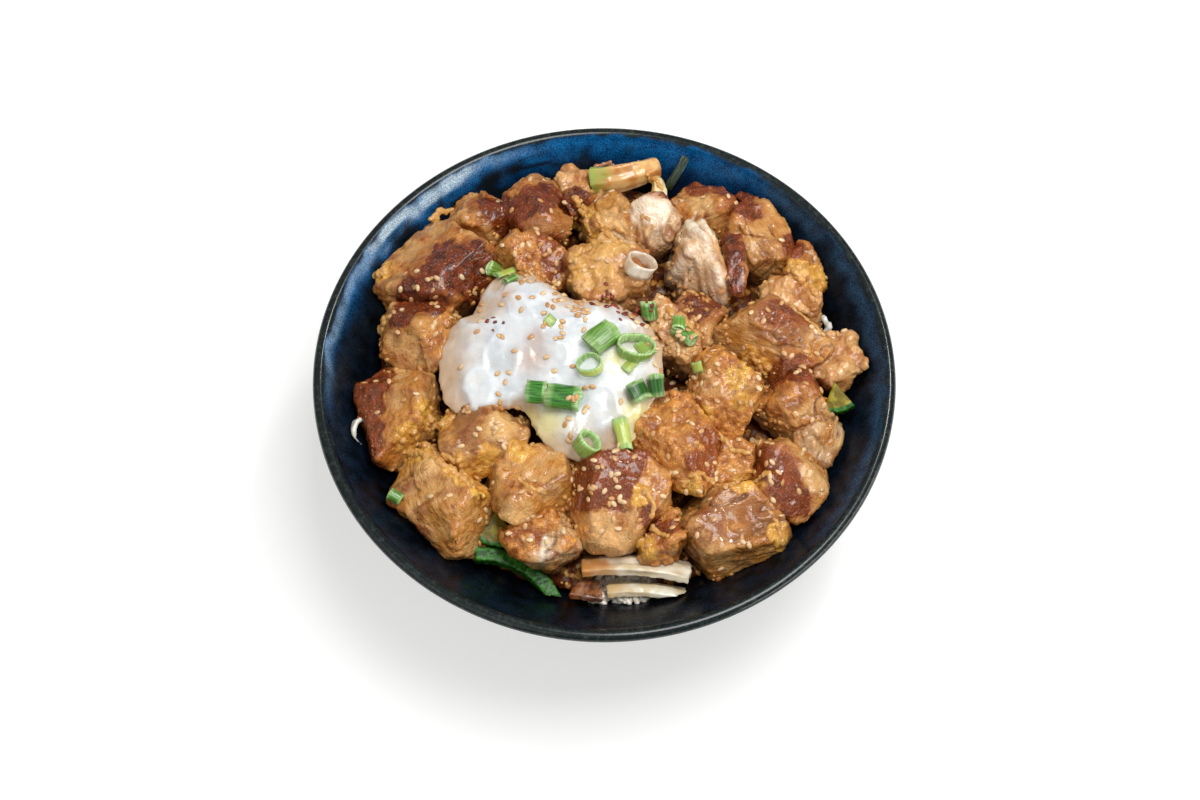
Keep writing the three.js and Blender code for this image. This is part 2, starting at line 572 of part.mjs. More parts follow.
function eggSolid(grow = 0) {
  const top = (x, y, out) => toppingTop(x, y) + EGG_RISE + eggSwell(x, y) - EGG_ROLL * out ** 5 + grow;
  const depth = (out) => EGG_THICKNESS * (1 - 0.75 * out ** 3) + 2 * grow;
  return heapSolid({
    centre: EGG_CENTRE,
    sectors: EGG_SECTORS,
    rings: EGG_RINGS,
    outline: (angle) => eggReach(angle) + grow,
    top,
    bottom: (x, y, out) => top(x, y, out) - depth(out),
  });
}

// Strips, slices and tubes

function stripSolid({ at, turn, size: [length, width, thick], bend, cup = 0, taper = 0 }, grow = 0) {
  const [long, wide, high] = [length, width, thick].map((side) => side + 2 * grow);
  const geometry = new THREE.BoxGeometry(long, wide, high, 5, 2, 1);
  const position = geometry.attributes.position;
  const bendRadius = length / radians(bend);
  for (let i = 0; i < position.count; i++) {
    const [x, y, z] = [position.getX(i), position.getY(i), position.getZ(i)];
    const narrow = 1 - taper * (x / length + 0.5);
    const crown = cup * (1 - ((2 * y) / width) ** 2);
    const reach = bendRadius + z + crown;
    const angle = x / bendRadius;
    position.setXYZ(i, Math.sin(angle) * reach, y * narrow, Math.cos(angle) * reach - bendRadius);
  }
  return placed(geometry, at, turn);
}

function sliceSolid({ at, turn, radius, thick, from, to }, grow = 0) {
  const reach = radius + grow;
  const outline = new THREE.Shape();
  outline.moveTo(0, 0);
  outline.lineTo(reach * Math.cos(radians(from)), reach * Math.sin(radians(from)));
  outline.absarc(0, 0, reach, radians(from), radians(to), false);
  outline.closePath();
  const depth = thick + 2 * grow;
  const geometry = new THREE.ExtrudeGeometry(outline, { depth, bevelEnabled: false, curveSegments: 8 });
  return placed(geometry.translate(0, 0, -depth / 2), at, turn);
}

// A short open tube, flattened by flat across its axis, which lies along Y before it is turned.
function tubeSolid({ at, turn, radius, length, flat }, grow = 0) {
  const [inner, outer] = [radius - LEAF_WALL - grow, radius + grow];
  const half = length / 2 + grow;
  const section = [[inner, -half], [outer, -half], [outer, half], [inner, half], [inner, -half]];
  const profile = section.map(([x, y]) => new THREE.Vector2(x, y));
  return placed(new THREE.LatheGeometry(profile, 8).scale(1, 1, flat), at, turn);
}

// Putting the dish together

const solids = new Map();
const finishes = new Map();
const cavity = cavitySolid();
const taken = [groundSolid()];

function add(name, finish, solid) {
  solids.set(name, solid);
  finishes.set(name, finish);
}

// Cuts a piece to the room that is left inside the bowl, and keeps that place for it.
function settle(name, finish, make) {
  let solid = make(0).intersect(cavity);
  for (const other of taken) {
    if (boxesMeet(solid, other)) solid = solid.subtract(other);
  }
  if (solid.isEmpty()) throw new Error(`${name} has no room left`);
  add(name, finish, largest(solid.simplify(FINEST)));
  taken.push(make(CLEAR));
}

const surfacesOf = () => [...solids].map(([name, solid]) => ({ name, triangles: trianglesOf(solid) }));

// The highest point over x, y, with its height, its normal and the name of the piece.
function landing(surfaces, x, y) {
  let best = null;
  for (const { name, triangles } of surfaces) {
    for (const { a, b, c, normal } of triangles) {
      if (normal.z <= 0.2) continue;
      const area = (b.x - a.x) * (c.y - a.y) - (c.x - a.x) * (b.y - a.y);
      const u = ((b.x - x) * (c.y - y) - (c.x - x) * (b.y - y)) / area;
      const v = ((c.x - x) * (a.y - y) - (a.x - x) * (c.y - y)) / area;
      if (u < 0 || v < 0 || u + v > 1) continue;
      const z = u * a.z + v * b.z + (1 - u - v) * c.z;
      if (!best || z > best.z) best = { name, z, normal };
    }
  }
  return best;
}

// Drops the seeds on the finished pieces and fuses each to the one that it lands on, clear of the others.
function sprinkleSeeds() {
  const surfaces = surfacesOf();
  const draw = randomFrom(5);
  const landed = [];
  const crowded = (x, y) => landed.some((other) => Math.hypot(other.x - x, other.y - y) < SEED_SPACING);
  for (const patch of SEED_PATCHES) {
    for (let i = 0; i < patch.count; i++) {
      const angle = draw() * 2 * Math.PI;
      const out = patch.reach * Math.sqrt(draw());
      const [x, y] = [patch.x + out * Math.cos(angle), patch.y + out * Math.sin(angle)];
      const yaw = draw() * Math.PI;
      const spot = landing(surfaces, x, y);
      const holds = /^(chicken|curds|egg)/.test(spot.name) && spot.normal.z > 0.55;
      if (!holds || crowded(x, y)) continue;
      const place = { at: [x, y, spot.z + SEED_STANDS_OUT], yaw, normal: spot.normal };
      const room = seedSolid({ ...place, size: SEED_SIZE.map((side) => side + SEED_ROOM) });
      const meets = ([name, solid]) =>
        name !== spot.name && boxesMeet(room, solid) && !room.intersect(solid).isEmpty();
      if ([...solids].some(meets)) continue;
      landed.push({ x, y });
      const seed = seedSolid({ ...place, size: SEED_SIZE });
      solids.set(spot.name, largest(solids.get(spot.name).add(seed)));
    }
  }
}

add("bowl", GLAZE, bowlSolid());
add("rice", RICE, riceSolid(cavity));
add("egg_and_onion_bed", SAUCE, bedSolid(cavity));
settle("egg_white", EGG_WHITE, eggSolid);
for (const strip of STRIPS) settle(strip.name, strip.finish, (grow) => stripSolid(strip, grow));
for (const slice of SLICES) settle(slice.name, COURGETTE, (grow) => sliceSolid(slice, grow));
CHUNKS.forEach((chunk, i) => {
  const shape = { ...chunk, seed: 21 + i, fine: mean(chunk.sides) < SMALL_CHUNK ? 1 : 2 };
  settle(`chicken_${chunk.name}`, chunk.finish, (grow) => chunkSolid(shape, grow));
});
CURDS.forEach((heap, i) => settle(heap.name, CURD, (grow) => curdSolid({ ...heap, seed: 71 + i }, grow)));

const surfaces = surfacesOf();
for (const tube of TUBES) {
  const at = [tube.x, tube.y, landing(surfaces, tube.x, tube.y).z + tube.over];
  settle(tube.name, tube.finish, (grow) => tubeSolid({ ...tube, at }, grow));
}
for (const { x, y, length, width, yaw } of EGG_GREENS) {
  const at = [x, y, landing(surfaces, x, y).z + SEED_STANDS_OUT];
  const green = grainSolid({ at, size: [length, width, GREEN_THICKNESS], yaw: radians(yaw) });
  solids.set("egg_white", largest(solids.get("egg_white").add(green)));
}
sprinkleSeeds();

const dish = new THREE.Group();
for (const [name, solid] of solids) {
  const mesh = new THREE.Mesh(toGeometry(solid), finishes.get(name));
  mesh.name = name;
  dish.add(mesh);
}

export default dish;
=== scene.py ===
"""The looks of a bowl of chicken and egg on rice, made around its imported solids.

Blender's lengths are metres. Sizes and places whose names or tables say so are millimetres, and MM turns
them into metres. +Z is up, the origin is on the table under the middle of the bowl, and -Y is the front.
"""

import itertools
import json
import math
import random

import bpy
import numpy as np
from bpy.props import FloatProperty, FloatVectorProperty, IntProperty, PointerProperty
from mathutils import Euler, Matrix, Vector
from mathutils.bvhtree import BVHTree

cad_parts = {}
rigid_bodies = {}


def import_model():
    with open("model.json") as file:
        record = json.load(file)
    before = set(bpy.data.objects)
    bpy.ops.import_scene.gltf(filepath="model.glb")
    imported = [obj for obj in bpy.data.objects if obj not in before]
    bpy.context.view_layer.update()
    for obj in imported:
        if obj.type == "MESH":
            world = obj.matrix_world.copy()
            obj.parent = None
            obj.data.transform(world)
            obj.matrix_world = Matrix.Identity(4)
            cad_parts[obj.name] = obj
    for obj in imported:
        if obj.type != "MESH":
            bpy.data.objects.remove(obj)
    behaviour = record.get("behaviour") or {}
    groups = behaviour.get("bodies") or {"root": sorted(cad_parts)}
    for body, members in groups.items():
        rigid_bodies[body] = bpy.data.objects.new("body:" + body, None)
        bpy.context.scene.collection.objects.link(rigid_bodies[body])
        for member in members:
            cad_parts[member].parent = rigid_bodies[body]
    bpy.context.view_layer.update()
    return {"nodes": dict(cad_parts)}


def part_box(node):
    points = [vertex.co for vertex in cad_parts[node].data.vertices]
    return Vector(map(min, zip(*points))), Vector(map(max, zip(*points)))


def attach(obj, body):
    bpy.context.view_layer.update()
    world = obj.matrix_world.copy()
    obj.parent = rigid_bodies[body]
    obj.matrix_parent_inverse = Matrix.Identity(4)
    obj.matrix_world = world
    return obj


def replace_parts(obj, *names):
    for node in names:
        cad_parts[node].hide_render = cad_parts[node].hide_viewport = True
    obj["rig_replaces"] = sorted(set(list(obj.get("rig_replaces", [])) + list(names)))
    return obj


bl_info = {
    "name": "Bowl of chicken and egg on rice",
    "version": (1, 0, 0),
    "blender": (4, 5, 0),
    "location": "3D View > Sidebar > Rice Bowl",
    "description": "Builds a glazed bowl of rice with chicken, soft egg, spring onion and sesame",
    "category": "Object",
}

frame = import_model()
MM = 0.001
UP = Vector((0, 0, 1))
MERGE_DISTANCE = 0.01 * MM
# Rays that look for the food start at this height
ABOVE_ALL = 120 * MM

# Bowl, in mm, as its solid has it
RIM_RADIUS = 102.5
BOWL_HEIGHT = 70
WALL = 4.5
LIP_HEIGHT = 2
FLOOR_HEIGHT = 11
FOOT_RADIUS = 37
FOOT_WIDTH = 5
FOOT_HEIGHT = 8
FOOT_RECESS = 5
WALL_STEPS = 90
LIP_ANGLES = range(155, -1, -25)

# The tops of the chunks lie on a low dome, in mm
TOPPING_HEIGHT = 78
TOPPING_FALL = 16
FALL_RADIUS = 85
BACK_RISE = 0.06

# The camera looks at the middle of the rim
CAMERA_ELEVATION = 61.4
CAMERA_DISTANCE = 0.75
CAMERA_LENS = 64.03
CAMERA_SHIFT = (-0.0036, -0.0282)


def topping_top(x, y):
    """The height of the dome over a place, in mm."""
    return TOPPING_HEIGHT + BACK_RISE * y - TOPPING_FALL * (x * x + y * y) / FALL_RADIUS**2


def linear(code):
    """A colour code of six hex digits as linear red, green, blue and alpha."""
    shares = [int(code[i : i + 2], 16) / 255 for i in (0, 2, 4)]
    return (*((c / 12.92 if c < 0.04 else ((c + 0.055) / 1.055) ** 2.4) for c in shares), 1.0)


# Random values that are the same at each run


def lattice(cells, seed):
    """One value from 0 to 1 for each whole-numbered cell."""
    mixed = np.sin(cells @ np.array([127.1, 311.7, 74.7]) + 17.31 * seed) * 43758.5453
    return mixed - np.floor(mixed)


def cloudy(points, size, seed):
    """Smooth random values from 0 to 1 with features of that size, which may differ along X, Y and Z."""
    scaled = points / size
    cell = np.floor(scaled)
    share = scaled - cell
    share = share * share * (3 - 2 * share)
    total = np.zeros(len(points))
    for corner in itertools.product((0, 1), repeat=3):
        weight = np.prod(np.where(corner, share, 1 - share), axis=1)
        total += weight * lattice(cell + corner, seed)
    return total


def bundled(points, size, seed):
    """Cells of about that size: each point's own cell's random value, how near the point is to the cell's
    edge, and how far it is from its middle, all from 0 to 1."""
    scaled = points / size
    cell = np.floor(scaled)
    nearest = np.full(len(points), 9.0)
    second = np.full(len(points), 9.0)
    value = np.zeros(len(points))
    for corner in itertools.product((-1, 0, 1), repeat=3):
        other = cell + corner
        spread = np.column_stack([lattice(other, seed + k) for k in (1, 2, 3)])
        away = np.sum((other + spread - scaled) ** 2, axis=1) ** 0.5
        closer = away < nearest
        second = np.where(closer, nearest, np.minimum(second, away))
        value = np.where(closer, lattice(other, seed), value)
        nearest = np.minimum(nearest, away)
    return value, 1 - np.clip((second - nearest) / 0.25, 0, 1), np.minimum(nearest, 1)


def smoothstep(low, high, values):
    share = np.clip((values - low) / (high - low), 0, 1)
    return share * share * (3 - 2 * share)


def squared_away(points, x, y):
    """The square of how far each point lies from a place, seen from above."""
    return (points[:, 0] - x) ** 2 + (points[:, 1] - y) ** 2


# Working on a piece


def select_only(piece):
    bpy.ops.object.select_all(action="DESELECT")
    piece.select_set(True)
    bpy.context.view_layer.objects.active = piece


def edited(piece, *steps):
    """Runs edit-mode operators on the whole of a piece, each given as its function and its settings."""
    select_only(piece)
    bpy.ops.object.mode_set(mode="EDIT")
    bpy.ops.mesh.select_all(action="SELECT")
    for operator, settings in steps:
        operator(**settings)
    bpy.ops.object.mode_set(mode="OBJECT")


def modified(piece, kind, **settings):
    """Adds a modifier to a piece and applies it."""
    modifier = piece.modifiers.new(kind.title(), kind)
    for name, value in settings.items():
        setattr(modifier, name, value)
    select_only(piece)
    bpy.ops.object.modifier_apply(modifier=modifier.name)


def lumpy(piece, size, depth, kind="CLOUDS"):
    """Pushes a piece's surface in and out by a solid texture. Size and depth are in mm."""
    texture = bpy.data.textures.new(f"{piece.name}_lumps", kind)
    texture.noise_scale = size * MM
    modified(piece, "DISPLACE", texture=texture, texture_coords="LOCAL", strength=depth * MM)
    bpy.data.textures.remove(texture)


def remeshed(piece, cell, smoothing, *lumps):
    """Gives a piece even faces of that size, softens its edges and adds lumps of each size and depth. All
    sizes are in mm."""
    modified(piece, "REMESH", mode="VOXEL", voxel_size=cell * MM)
    modified(piece, "SMOOTH", factor=0.5, iterations=smoothing)
    for size, depth in lumps:
        lumpy(piece, size, depth)
    return piece


def copy_of(node, name, *form):
    """A merged copy of a solid, remeshed to its form."""
    piece = linked(name, frame["nodes"][node].data.copy())
    piece.data.materials.clear()
    edited(piece, (bpy.ops.mesh.remove_doubles, {"threshold": MERGE_DISTANCE}))
    return remeshed(piece, *form)


def linked(name, mesh):
    """A new object of a mesh, in the scene."""
    piece = bpy.data.objects.new(name, mesh)
    bpy.context.scene.collection.objects.link(piece)
    return piece


def points_of(piece):
    """A piece's points in mm."""
    return vectors_of(piece, "co") / MM


def vectors_of(piece, kind):
    values = np.empty(len(piece.data.vertices) * 3)
    piece.data.vertices.foreach_get(kind, values)
    return values.reshape(-1, 3)


def move_points(piece, points):
    piece.data.vertices.foreach_set("co", (points * MM).ravel())
    piece.data.update()


def push(piece, distance):
    """Moves each point of a piece along its normal, by a distance in mm."""
    move_points(piece, points_of(piece) + vectors_of(piece, "normal") * distance[:, None])


def faceted(piece, count, flatness, seed):
    """Draws a piece's surface towards flat faces, as cut and torn meat has, and tells how near edges are."""
    facing_weight, softness, furthest = 60, 9, 3.5
    points = points_of(piece)
    normals = vectors_of(piece, "normal")
    picks = np.random.default_rng(seed).choice(len(points), count, replace=False)
    away = np.sum((points[:, None] - points[picks]) ** 2, axis=2)
    away += facing_weight * np.sum((normals[:, None] - normals[picks]) ** 2, axis=2)
    nearest = np.sort(away, axis=1)
    shares = np.exp((nearest[:, :1] - away) / softness)
    shares /= shares.sum(axis=1, keepdims=True)
    weights = (shares / shares.sum(axis=0)).T
    facings = weights @ normals
    facings /= np.linalg.norm(facings, axis=1, keepdims=True)
    offsets = np.sum(weights @ points * facings, axis=1) - points @ facings.T
    move_points(piece, points + flatness * (shares * np.clip(offsets, -furthest, furthest)) @ facings)
    return smoothstep(30, 6, nearest[:, 1] - nearest[:, 0])


def paint(piece, **layers):
    """Keeps a value for each point of a piece, or one for all, under each name for its finish to read."""
    for name, values in layers.items():
        layer = piece.data.attributes.new(name, "FLOAT", "POINT")
        layer.data.foreach_set("value", np.full(len(layer.data), values, np.float32))


def paint_grain(piece, places):
    """Keeps each point's place along and across the grain, for the finish's fibres."""
    layer = piece.data.attributes.new("grain", "FLOAT_VECTOR", "POINT")
    layer.data.foreach_set("vector", np.asarray(places, np.float32).ravel())


def along_grain(points, yaw=None):
    """Points in mm turned so that X runs along the grain: their longest direction, or one at a yaw."""
    centred = points - points.mean(axis=0)
    if yaw is None:
        axes = np.linalg.svd(centred[:: max(1, len(centred) // 2000)], full_matrices=False)[2]
        return centred @ axes.T
    turn = Matrix.Rotation(math.radians(-yaw), 3, "Z")
    return centred @ np.array(turn).T


def finish_piece(piece, slot, finish, *nodes):
    """Gives a piece its finish, puts it in the dish and hides the solids that it stands for."""
    piece.data.materials.clear()
    piece.data.materials.append(finish)
    select_only(piece)
    bpy.ops.object.shade_smooth()
    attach(piece, "root")
    if nodes:
        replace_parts(piece, *nodes)


def joined_copies(name, prototype, places, shades):
    """One mesh of many copies of a modelled piece, each with its own place and shade, and without it."""
    prototype.data.calc_loop_triangles()
    points = np.array([vertex.co[:] for vertex in prototype.data.vertices])
    faces = np.array([list(face.vertices) for face in prototype.data.loop_triangles])
    matrices = np.array([np.array(place) for place in places])
    moved = np.einsum("nij,kj->nki", matrices[:, :3, :3], points) + matrices[:, None, :3, 3]
    offsets = np.arange(len(places))[:, None, None] * len(points)
    mesh = bpy.data.meshes.new(name)
    mesh.from_pydata(moved.reshape(-1, 3).tolist(), [], (faces[None] + offsets).reshape(-1, 3).tolist())
    piece = linked(name, mesh)
    paint(piece, shade=np.repeat(shades, len(points)))
    bpy.data.objects.remove(prototype)
    return piece


def strew(name, prototype, places, draw, slot, finish):
    """Finishes one piece of many copies of a modelled one, each with a shade of its own."""
    shades = [draw.random() for _ in places]
    finish_piece(joined_copies(name, prototype, places, shades), slot, finish)


def joined(name, pieces):
    """One piece of several that lie in place."""
    select_only(pieces[0])
    for piece in pieces[1:]:
        piece.select_set(True)
    bpy.ops.object.join()
    pieces[0].name = name
    return pieces[0]


class Ground:
    """The finished food, for small toppings to land on."""

    def __init__(self):
        depsgraph = bpy.context.evaluated_depsgraph_get()
        food = [piece for piece in bpy.data.objects if piece.get("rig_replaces") and piece.type == "MESH"]
        self.trees = [(piece.name, BVHTree.FromObject(piece, depsgraph)) for piece in food]

    def under(self, x, y):
        """The highest point under a place in mm: its location, normal and the name of its piece."""
        best = None
        for name, tree in self.trees:
            spot, normal, _, _ = tree.ray_cast(Vector((x * MM, y * MM, ABOVE_ALL)), -UP)
            if spot is not None and (best is None or spot.z > best[0].z):
                best = (spot, normal, name)
        return best


# Node trees


class Tree:
    """Adds nodes to a material, a world or a node group. A colour may be given by its code."""

    def __init__(self, tree):
        self.tree = tree

    def fill(self, node, inputs):
        """Links a node's sockets, or sets the ones that are the same all over."""
        for name, value in inputs.items():
            if isinstance(value, bpy.types.NodeSocket):
                self.tree.links.new(value, node.inputs[name])
            else:
                node.inputs[name].default_value = linear(value) if isinstance(value, str) else value

    def node(self, kind, inputs, **settings):
        """Adds a shader node and gives its outputs."""
        node = self.tree.nodes.new(f"ShaderNode{kind}")
        for name, value in settings.items():
            setattr(node, name, value)
        self.fill(node, inputs)
        return node.outputs

    def mix(self, share, first, second):
        """Two colours mixed by a share."""
        return self.node("Mix", {"Factor": share, "A": first, "B": second}, data_type="RGBA")[2]

    def blend(self, share, first, second):
        """Two numbers mixed by a share."""
        return self.node("Mix", {0: share, 2: first, 3: second})[0]

    def math(self, operation, first, second):
        return self.node("Math", {0: first, 1: second}, operation=operation)[0]

    def read(self, name):
        """The value painted on the piece under that name."""
        return self.node("Attribute", {}, attribute_name=name)["Fac"]

    def layers(self, colour, *rows):
        """A colour with others over it. Each row is a mask or the name of a painted one, its share and its
        colour."""
        for mask, share, over in rows:
            mask = self.read(mask) if isinstance(mask, str) else mask
            colour = self.mix(self.math("MULTIPLY", mask, share), colour, over)
        return colour

    def mask(self, group, scale, detail, low, high):
        inputs = {"Scale": scale, "Detail": detail, "Low": low, "High": high}
        return self.node("Group", inputs, node_tree=mask_group(group))["Mask"]

    def patches(self, size, low=0.4, high=0.6, detail=2.0):
        """Soft patches of about that size in mm."""
        return self.mask("soft_patches", 1 / (size * MM), detail, low, high)

    def fibres(self, spacing, low=0.3, high=0.7):
        """Fine lines along the piece's grain, about that far apart in mm."""
        return self.mask("grain_lines", 1 / spacing, 1.5, low, high)

    def bump(self, height, depth, over=None):
        """A relief of that depth in mm, over another one."""
        inputs = {"Height": height, "Distance": depth * MM, "Strength": 1.0}
        if over is not None:
            inputs["Normal"] = over
        return self.node("Bump", inputs)["Normal"]

    def shade(self, colour, soft=0.0, radius=(1.0, 0.45, 0.25), depth=2.5, **inputs):
        """Sets the shader. Soft is how much light goes into the food, to a depth in mm."""
        inputs |= {"base_color": colour, "subsurface_weight": soft, "subsurface_radius": radius}
        inputs["subsurface_scale"] = depth * MM
        for name, value in inputs.items():
            socket = name.replace("_", " ").title().replace("Ior", "IOR")
            self.fill(self.tree.nodes["Principled BSDF"], {socket: value})


def mask_group(name):
    """A node group with noise as a mask, which rises from 0 to 1 between Low and High. The noise of
    "grain_lines" is drawn out along the grain, and that of "soft_patches" isn't."""
    group = bpy.data.node_groups.get(name)
    if group is None:
        group = bpy.data.node_groups.new(name, "ShaderNodeTree")
        for socket in ("Scale", "Detail", "Low", "High"):
            group.interface.new_socket(name=socket, in_out="INPUT", socket_type="NodeSocketFloat")
        group.interface.new_socket(name="Mask", in_out="OUTPUT", socket_type="NodeSocketFloat")
        tree = Tree(group)
        ends = group.nodes.new("NodeGroupInput").outputs
        place = tree.node("TexCoord", {})["Object"]
        if name == "grain_lines":
            along = tree.node("Attribute", {}, attribute_name="grain")["Vector"]
            place = tree.node("VectorMath", {0: along, 1: (0.12, 1.0, 1.0)}, operation="MULTIPLY")["Vector"]
        noise = tree.node("TexNoise", {"Vector": place, "Scale": ends["Scale"], "Detail": ends["Detail"]})
        rise = {"Value": noise["Fac"], "From Min": ends["Low"], "From Max": ends["High"]}
        mask = tree.node("MapRange", rise, interpolation_type="SMOOTHSTEP")["Result"]
        tree.fill(group.nodes.new("NodeGroupOutput"), {"Mask": mask})
    return group


def look(build):
    """Turns a function that fills a material's tree into one that gives a named material, built once."""

    def material(name, *details):
        made = bpy.data.materials.get(name)
        if made is None:
            made = bpy.data.materials.new(name)
            made.use_nodes = True
            build(Tree(made.node_tree), *details)
        return made

    return material


# Finishes


@look
def glaze_look(tree):
    """Blue and black reactive glaze: milky blue under the lip at the back left, with a painted highlight in
    it, nearly black below and towards the front, partly the glaze and partly painted shade, and dark where
    it thins over the lip."""
    sparkle = tree.patches(0.45, 0.36, 0.64)
    cloud = tree.patches(5, 0.35, 0.66, 4.0)
    grain = tree.blend(0.3, sparkle, cloud)
    milky = tree.read("milky")
    rim = tree.read("rim")
    bare = tree.read("bare")
    colour = tree.layers(
        tree.mix(tree.math("MULTIPLY", cloud, 0.6), "020303", "0b1320"),
        # Steel blue and blue, the blue darker low on the wall by the light value: partly the glaze and
        # partly painted shade
        ("steel", 1, tree.mix(grain, "12202c", "2c4e6c")),
        ("blue", 1, tree.mix(
            tree.read("light"), tree.mix(grain, "01040c", "031e3e"), tree.mix(grain, "022650", "1070b0")
        )),
        # Milky blue, partly the glaze and partly a painted highlight
        (
            tree.math("MULTIPLY", milky, tree.blend(sparkle, 0.4, 1.0)), 1,
            tree.mix(milky, "2a8cd0", "cce6f4"),
        ),
        ("vein", 1, "0b1216"),
        (rim, 1, tree.mix(tree.patches(1.5, 0.45, 0.7, 3.0), "0a1516", "26312d")),
        (bare, 1, "6f6455"),
    )
    polished = tree.math("MAXIMUM", milky, tree.math("MULTIPLY", rim, 0.6))
    tree.shade(
        colour, roughness=tree.blend(bare, tree.blend(grain, 0.2, 0.34), 0.75),
        normal=tree.bump(tree.patches(1.3, 0.3, 0.7), 0.03), specular_ior_level=0.09,
        coat_weight=tree.blend(polished, 0.07, 1.0), coat_roughness=0.16,
    )


@look
def chicken_look(tree, plain, golden, pale, skin_light, skin_dark):
    """Moist chicken: fibrous flesh, browned skin, crumbs and yellow egg, with painted shade in low relief
    and creases, and sauce with painted shade where it lies low.
    """
    fibres = tree.fibres(1.1)
    speck = tree.patches(0.9, 0.4, 0.62)
    raised = tree.read("raised")
    skin = tree.read("skin")
    coarse = tree.blend(tree.math("MAXIMUM", skin, tree.read("crust")), 0.3, 1.0)
    gritty = tree.math("MULTIPLY", tree.patches(0.5, 0.38, 0.62, 3.0), coarse)
    browned = tree.mix(tree.patches(3.4, 0.3, 0.7, 3.0), skin_dark, skin_light)
    colour = tree.layers(
        tree.mix(tree.read("gold"), plain, golden),
        # Painted shade where the relief is low
        (tree.math("SUBTRACT", 1.0, raised), 0.4, "884a1c"),
        (fibres, 0.26, "f2bc62"),
        (tree.math("SUBTRACT", 1.0, fibres), 0.3, "8f4c1c"),
        (speck, 0.1, "7a3c12"),
        (tree.patches(9, 0.38, 0.58, 1.5), 0.75, "ecba74"),
        (tree.patches(9, 0.44, 0.76, 3.0), 0.8, "8c481c"),
        (tree.math("MULTIPLY", tree.read("edge"), tree.patches(5, 0.42, 0.62)), 0.75, "8a4014"),
        ("seared", 0.6, "a8571c"),
        ("mauve", 0.62, "86441c"),
        ("pale", 0.93, pale),
        # Crust and egg lighter on the crests and darker in low relief, as painted highlight and shade
        ("crust", 1, tree.mix(raised, "a2541a", "eea650")),
        ("egg", 0.95, tree.mix(raised, "cf8a30", "f6c05a")),
        (skin, 1, tree.layers(browned, ("gold", 0.5, "a8541a"))),
        (gritty, 0.4, "4a1c06"),
        (tree.math("MULTIPLY", tree.patches(0.7, 0.62, 0.72), coarse), 0.45, "f2c07c"),
        # Painted shade in the creases and slits
        ("crease", 0.7, "55240a"),
        # Tan flesh beside the torn piece's white trunk, and painted shade in the grooves between its strands
        ("shadowed", 0.6, "d39f66"),
        # Sauce with painted shade where the food lies low under the dome
        ("deep", 0.88, "341206"),
    )
    tree.shade(
        colour, 0.32, roughness=tree.blend(skin, tree.blend(tree.patches(3, 0.35, 0.65), 0.16, 0.42), 0.14),
        normal=tree.bump(gritty, 0.035, tree.bump(speck, 0.12, tree.bump(fibres, 0.16))),
        specular_ior_level=0.32, coat_weight=0.5, coat_roughness=0.07,
    )


@look
def curd_look(tree):
    """Half set egg: tan and yellow curds, darker towards the hollows between them, and with sauce and
    painted shade where they lie low.
    """
    speck = tree.patches(1.0, 0.4, 0.62, 3.0)
    broad = tree.patches(5, 0.4, 0.62)
    colour = tree.layers(
        tree.mix(tree.read("tone"), "bb773e", "ecbc80"),
        (speck, 0.35, "9c5c24"),
        (broad, 0.5, "dba45e"),
        ("pale", 0.8, "efd7b0"),
        ("egg", 0.7, "e4b05c"),
        ("skin", 0.85, "8c4a20"),
        # Darker towards the hollows between the curds
        ("hollow", 0.6, "8a4a18"),
        # Sauce with painted shade where the egg lies low
        ("deep", 0.85, "45200a"),
    )
    tree.shade(
        colour, 0.3, depth=3.0, roughness=tree.blend(broad, 0.18, 0.4), normal=tree.bump(speck, 0.12),
        coat_weight=0.3, coat_roughness=0.1,
    )


@look
def egg_look(tree):
    """Soft egg white, tan and glassy where it thins out, with some yolk in it."""
    colour = tree.layers(
        tree.mix(tree.patches(9, 0.4, 0.65), "e6e9ea", "d2d7da"),
        ("thin", 0.8, "c99f6c"),
        ("yolk", 0.7, "ece08a"),
        ("stain", 0.6, "c9a084"),
    )
    tree.shade(
        colour, 0.5, (1.0, 0.85, 0.7), 3.5, roughness=tree.blend(tree.patches(4), 0.16, 0.3),
        normal=tree.bump(tree.patches(2.2, 0.3, 0.7), 0.08), coat_weight=0.4, coat_roughness=0.08,
    )


@look
def sauce_look(tree):
    """Brown sauce with threads of egg and onion in it."""
    bits = tree.patches(3.2, 0.5, 0.6, 3.0)
    colour = tree.layers(
        tree.mix(bits, "5c2808", "b57a35"),
        (tree.patches(1.2), 0.4, "2a0e04"),
        (tree.patches(6, 0.62, 0.7), 0.8, "d9b27a"),
    )
    tree.shade(
        colour, 0.1, roughness=tree.blend(bits, 0.3, 0.5), normal=tree.bump(bits, 0.3),
        specular_ior_level=0.15,
    )


@look
def rice_look(tree):
    colour = tree.mix(tree.patches(1.5), "efe7d8", "d9cbb4")
    tree.shade(colour, 0.4, (1.0, 0.8, 0.6), 1.5, roughness=0.35, coat_weight=0.2)


@look
def onion_look(tree, light, dark, end):
    """Soft cooked onion: glassy layers with fine lines along them, stained at the left end."""
    lines = tree.fibres(1.4)
    layers = tree.blend(0.75, tree.fibres(4.0, 0.42, 0.58), tree.patches(6))
    colour = tree.layers(tree.mix(layers, dark, light), (lines, 0.12, "fbf3e2"), ("end", 1, end))
    tree.shade(
        colour, 0.5, (1.0, 0.85, 0.6), 3.0, roughness=0.2, normal=tree.bump(lines, 0.08),
        coat_weight=0.4, coat_roughness=0.1,
    )


